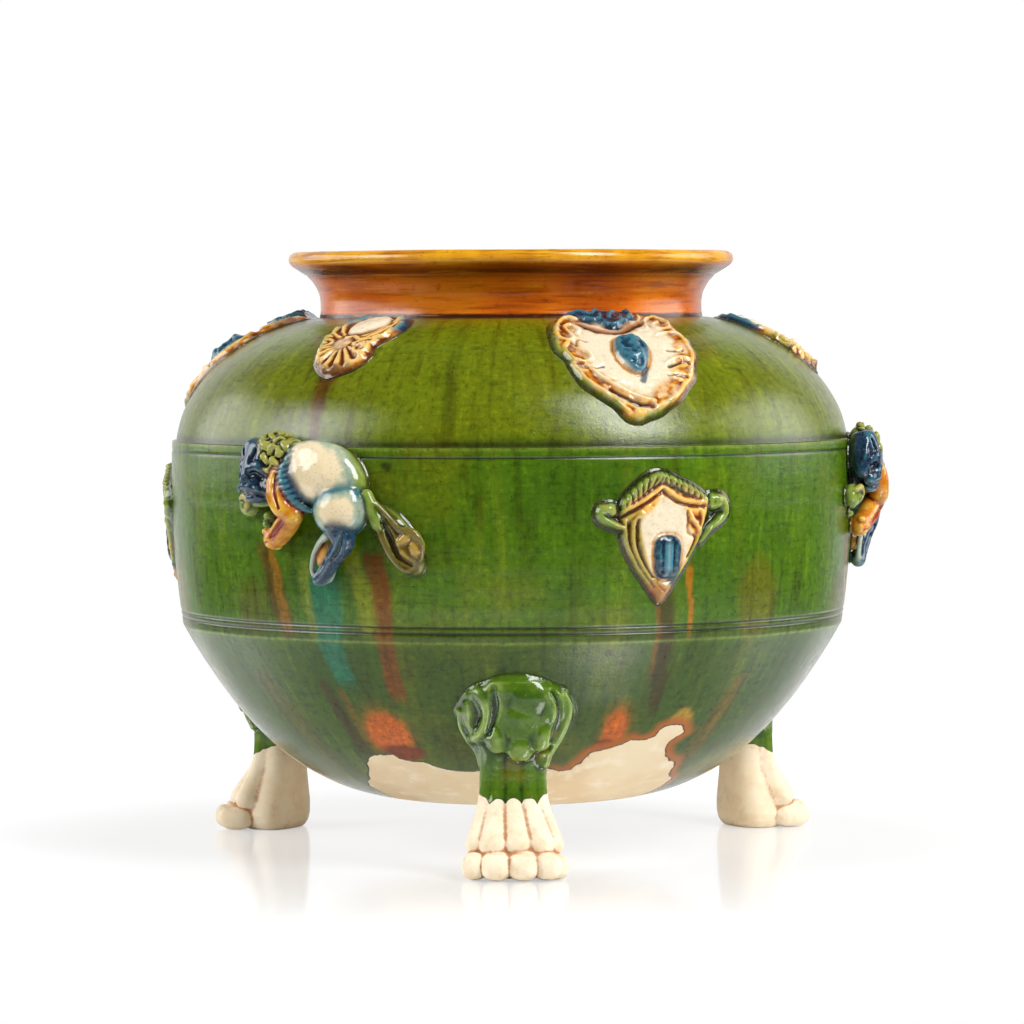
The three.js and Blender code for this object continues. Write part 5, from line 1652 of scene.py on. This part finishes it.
def lion_glazes(u, v, hollow, depth, waver, fine):
    """The glaze of each of the lion's forms."""
    glazes = {name: glaze_by_depth(name, depth, -0.02, 0.24) for name in ("blue", "amber", "green", "olive")}
    blue, green = glazes["blue"], glazes["green"]
    shaded = {
        # a glaze, how much deeper its hollows are, where it turns deep, a tint and its share
        "cream": ("cream", 0, 0.16, 0.60, (0.86, 0.69, 0.40), 0.55 + 0.35 * waver),
        "mane": ("olive", 0, -0.10, 0.06, green, 0.4),
        "tail": ("olive", 0.12, -0.10, 0.10, (0.048, 0.036, 0.002), 0.72),
        "gold": ("olive", -0.02, 0.0, 0.15, (0.46, 0.24, 0.02), 0.60),
        "head": ("blue", 0.16, -0.04, 0.24, (0.005, 0.022, 0.050), 0.35),
        "navy": ("blue", 0.12, -0.02, 0.22, (0.004, 0.022, 0.052), 0.45),
    }
    for name, (base, deeper, low, high, tint, share) in shaded.items():
        glazes[name] = mixed(glaze_by_depth(base, depth + deeper, low, high), tint, share)

    shin = line_distance(u, v, [(-5.4, -4.8), (-11.2, -9.4)]) + 0.6 * waver
    yellowed = ramp(-0.04, -0.28, depth + 0.15 * waver) * ramp(0.9, 2.2, shin)
    glazes["foreleg"] = painted(
        (0.54, 0.16, 0.006),
        ((0.20, 0.020, 0.003), ramp(0.02, 0.24, depth)),
        ((0.30, 0.030, 0.003), 0.9 * ramp(2.3, 0.9, shin)),
        ((0.76, 0.46, 0.05), yellowed),
    )
    aqua = mixed(blue, (0.025, 0.17, 0.19), 0.6)
    pale = mixed(aqua, (0.62, 0.66, 0.42), 0.55 + 0.4 * fine)
    glazes["strap"] = mixed(blue, aqua, ramp(0.0, -0.12, hollow))
    glazes["rind"] = mixed((0.42, 0.50, 0.40), blue, ramp(-0.1, 0.12, depth))
    spot = oval(u, v, (13.0, -1.4), (5.4, 4.2), 20) + 0.3 * waver
    cream = glazes["cream"]
    glazes["haunch"] = painted(
        aqua, (pale, ramp(1.6, 1.1, spot)), (cream, ramp(1.15, 0.8, spot))
    )
    saddle = oval(u, v, (4.0, 10.4), (9.8, 7.2), -14) + 0.22 * waver
    glazes["flank"] = painted(
        aqua,
        (mixed(green, (0.28, 0.37, 0.07), 0.6), ramp(6, 11, v * 0.6 + u * 0.8)),
        (pale, ramp(1.45, 1.15, saddle)),
        (cream, ramp(1.12, 0.90, saddle)),
    )
    return glazes


def lion_colours(u, v, h, hollow, places, seed):
    """Each form's glaze, run into its neighbours'."""
    drift = np.column_stack([rough_noise(places, 3.2, seed + k) for k in range(3)])
    moved = (places + 0.55 * drift).T
    waver = rough_noise(places, 4, seed)
    fine = rough_noise(places, 1.6, seed + 5)
    glazes = lion_glazes(u, v, hollow, hollow + 0.05 * fine, waver, fine)
    total = np.zeros((len(u), 3))
    weights = np.zeros(len(u))
    for distance, _, name in lion_parts(moved):
        weight = np.exp(-np.clip(distance + 0.2, 0, FAR) / 0.4)
        total += glazes[name] * weight[:, None]
        weights += weight
    back = ramp(4.0, 1.4, h + 0.8 * waver) * ramp(4, 10, v + 0.5 * u)
    return painted(
        total / np.maximum(weights, 1e-9)[:, None],
        (mixed(glazes["green"], glazes["olive"], 0.4), 0.9 * back),
        ((0.006, 0.020, 0.024), 0.6 * ramp(0.14, 0.50, hollow + 0.05 * fine)),
        (glazes["green"], 0.35 * ramp(3.0, 0.9, h + waver)),
    )


lion = surface_net(lion_field, (-30.5, -26.5, -1.4), (41, 25, 15), 0.38)
place_sprigs("lion", "band_lion", LION_ANCHOR, lion, lion_colours)


# Studio
CAMERA_PLACE = (0, -1.511, 0.174)
CAMERA_PITCH = 2.498
CAMERA_ROLL = 0.26
CAMERA_LENS = 162.77


def camera():
    """The camera of the photograph."""
    data = bpy.data.cameras.new("camera")
    data.lens = CAMERA_LENS
    data.sensor_width = 36
    data.clip_start = 0.05
    data.clip_end = 60
    eye = bpy.data.objects.new("camera", data)
    bpy.context.scene.collection.objects.link(eye)
    pitch = Matrix.Rotation(np.radians(90 - CAMERA_PITCH), 4, "X")
    roll = Matrix.Rotation(np.radians(-CAMERA_ROLL), 4, "Z")
    eye.matrix_world = Matrix.Translation(CAMERA_PLACE) @ pitch @ roll
    bpy.context.scene.camera = eye


# Azimuth, elevation, distance, width, height and watts
SOFT_BOXES = {
    "key_box": (45, 38, 1.4, 0.46, 0.96, 22.5),
    "fill_box": (-74, 22, 1.6, 0.80, 0.90, 17),
    "left_box": (-110, 16, 1.25, 0.95, 0.64, 5.8),
    "right_box": (102, 18, 1.25, 0.85, 0.67, 6.4),
}
LAMPS_AIM = (0, 0, 0.1)


def soft_box(name, azimuth, elevation, distance, width, height, watts):
    """A square lamp that faces the object from a direction round it."""
    data = bpy.data.lights.new(name, "AREA")
    data.shape = "RECTANGLE"
    data.size = width
    data.size_y = height
    data.energy = watts
    lamp = bpy.data.objects.new(name, data)
    bpy.context.scene.collection.objects.link(lamp)
    turn, rise = np.radians(azimuth), np.radians(elevation)
    back = np.array([np.sin(turn) * np.cos(rise), -np.cos(turn) * np.cos(rise), np.sin(rise)])
    at = back * distance + LAMPS_AIM
    facing = Matrix.Rotation(turn, 4, "Z") @ Matrix.Rotation(np.pi / 2 - rise, 4, "X")
    lamp.matrix_world = Matrix.Translation(at) @ facing


FLOOR_RADIUS = 400
FLOOR_SIDES = 128
ROOM_LIGHT = 0.07
WALL_LIGHT = 0.8


def white_floor():
    """A round white table: it keeps the object's shadow, and a reflection that fades away from the feet."""
    nodes = Nodes("white_floor")
    path = nodes.add("ShaderNodeLightPath").outputs
    where = nodes.add("ShaderNodeTexCoord").outputs["Object"]
    away = nodes.add("ShaderNodeVectorMath", {0: where}, operation="LENGTH").outputs["Value"]
    plain, shaded = (nodes.add("ShaderNodeBsdfDiffuse", {"Color": (w, w, w)}).outputs[0] for w in (0.9, 0.28))
    bright = nodes.ramp(away, 0.11, 0.24, 0.80, 0.99)
    glow = nodes.add("ShaderNodeEmission", {"Color": (1, 1, 1), "Strength": bright}).outputs[0]
    gloss = nodes.add("ShaderNodeBsdfGlossy", {"Color": (1, 1, 1), "Roughness": 0.13}).outputs[0]
    paper = nodes.add("ShaderNodeAddShader", {0: shaded, 1: glow}).outputs[0]
    polish = nodes.ramp(away, 0.10, 0.34, 0.42, 0.03)
    sheet = nodes.add("ShaderNodeMixShader", {0: polish, 1: paper, 2: gloss}).outputs[0]
    seen = nodes.math("MAXIMUM", path["Is Camera Ray"], path["Is Glossy Ray"])
    shown = nodes.add("ShaderNodeMixShader", {0: seen, 1: plain, 2: sheet}).outputs[0]
    material = nodes.finish(shown)
    corner = np.arange(FLOOR_SIDES)
    ring = around(np.full(FLOOR_SIDES, FLOOR_RADIUS), corner * 360 / FLOOR_SIDES, 0 * corner)
    floor = mesh_object("floor", ring, [corner[None, :]], {}, [material])


def surroundings():
    """A white wall behind the object and a dim room before it; white to the eye on all sides."""
    nodes = Nodes("studio", bpy.data.worlds)
    where = nodes.add("ShaderNodeTexCoord").outputs["Generated"]
    depth = nodes.add("ShaderNodeSeparateXYZ", {0: where}).outputs["Y"]
    room = nodes.ramp(depth, 0.6, 0.9, ROOM_LIGHT, WALL_LIGHT)
    to_eye = nodes.add("ShaderNodeLightPath").outputs["Is Camera Ray"]
    strength = nodes.math("MAXIMUM", to_eye, room)
    light = nodes.add("ShaderNodeBackground", {"Color": (1, 1, 1), "Strength": strength}).outputs[0]
    bpy.context.scene.world = nodes.finish(light, "ShaderNodeOutputWorld")


camera()
white_floor()
surroundings()
for name, numbers in SOFT_BOXES.items():
    soft_box(name, *numbers)
bpy.context.scene.view_settings.view_transform = "Standard"
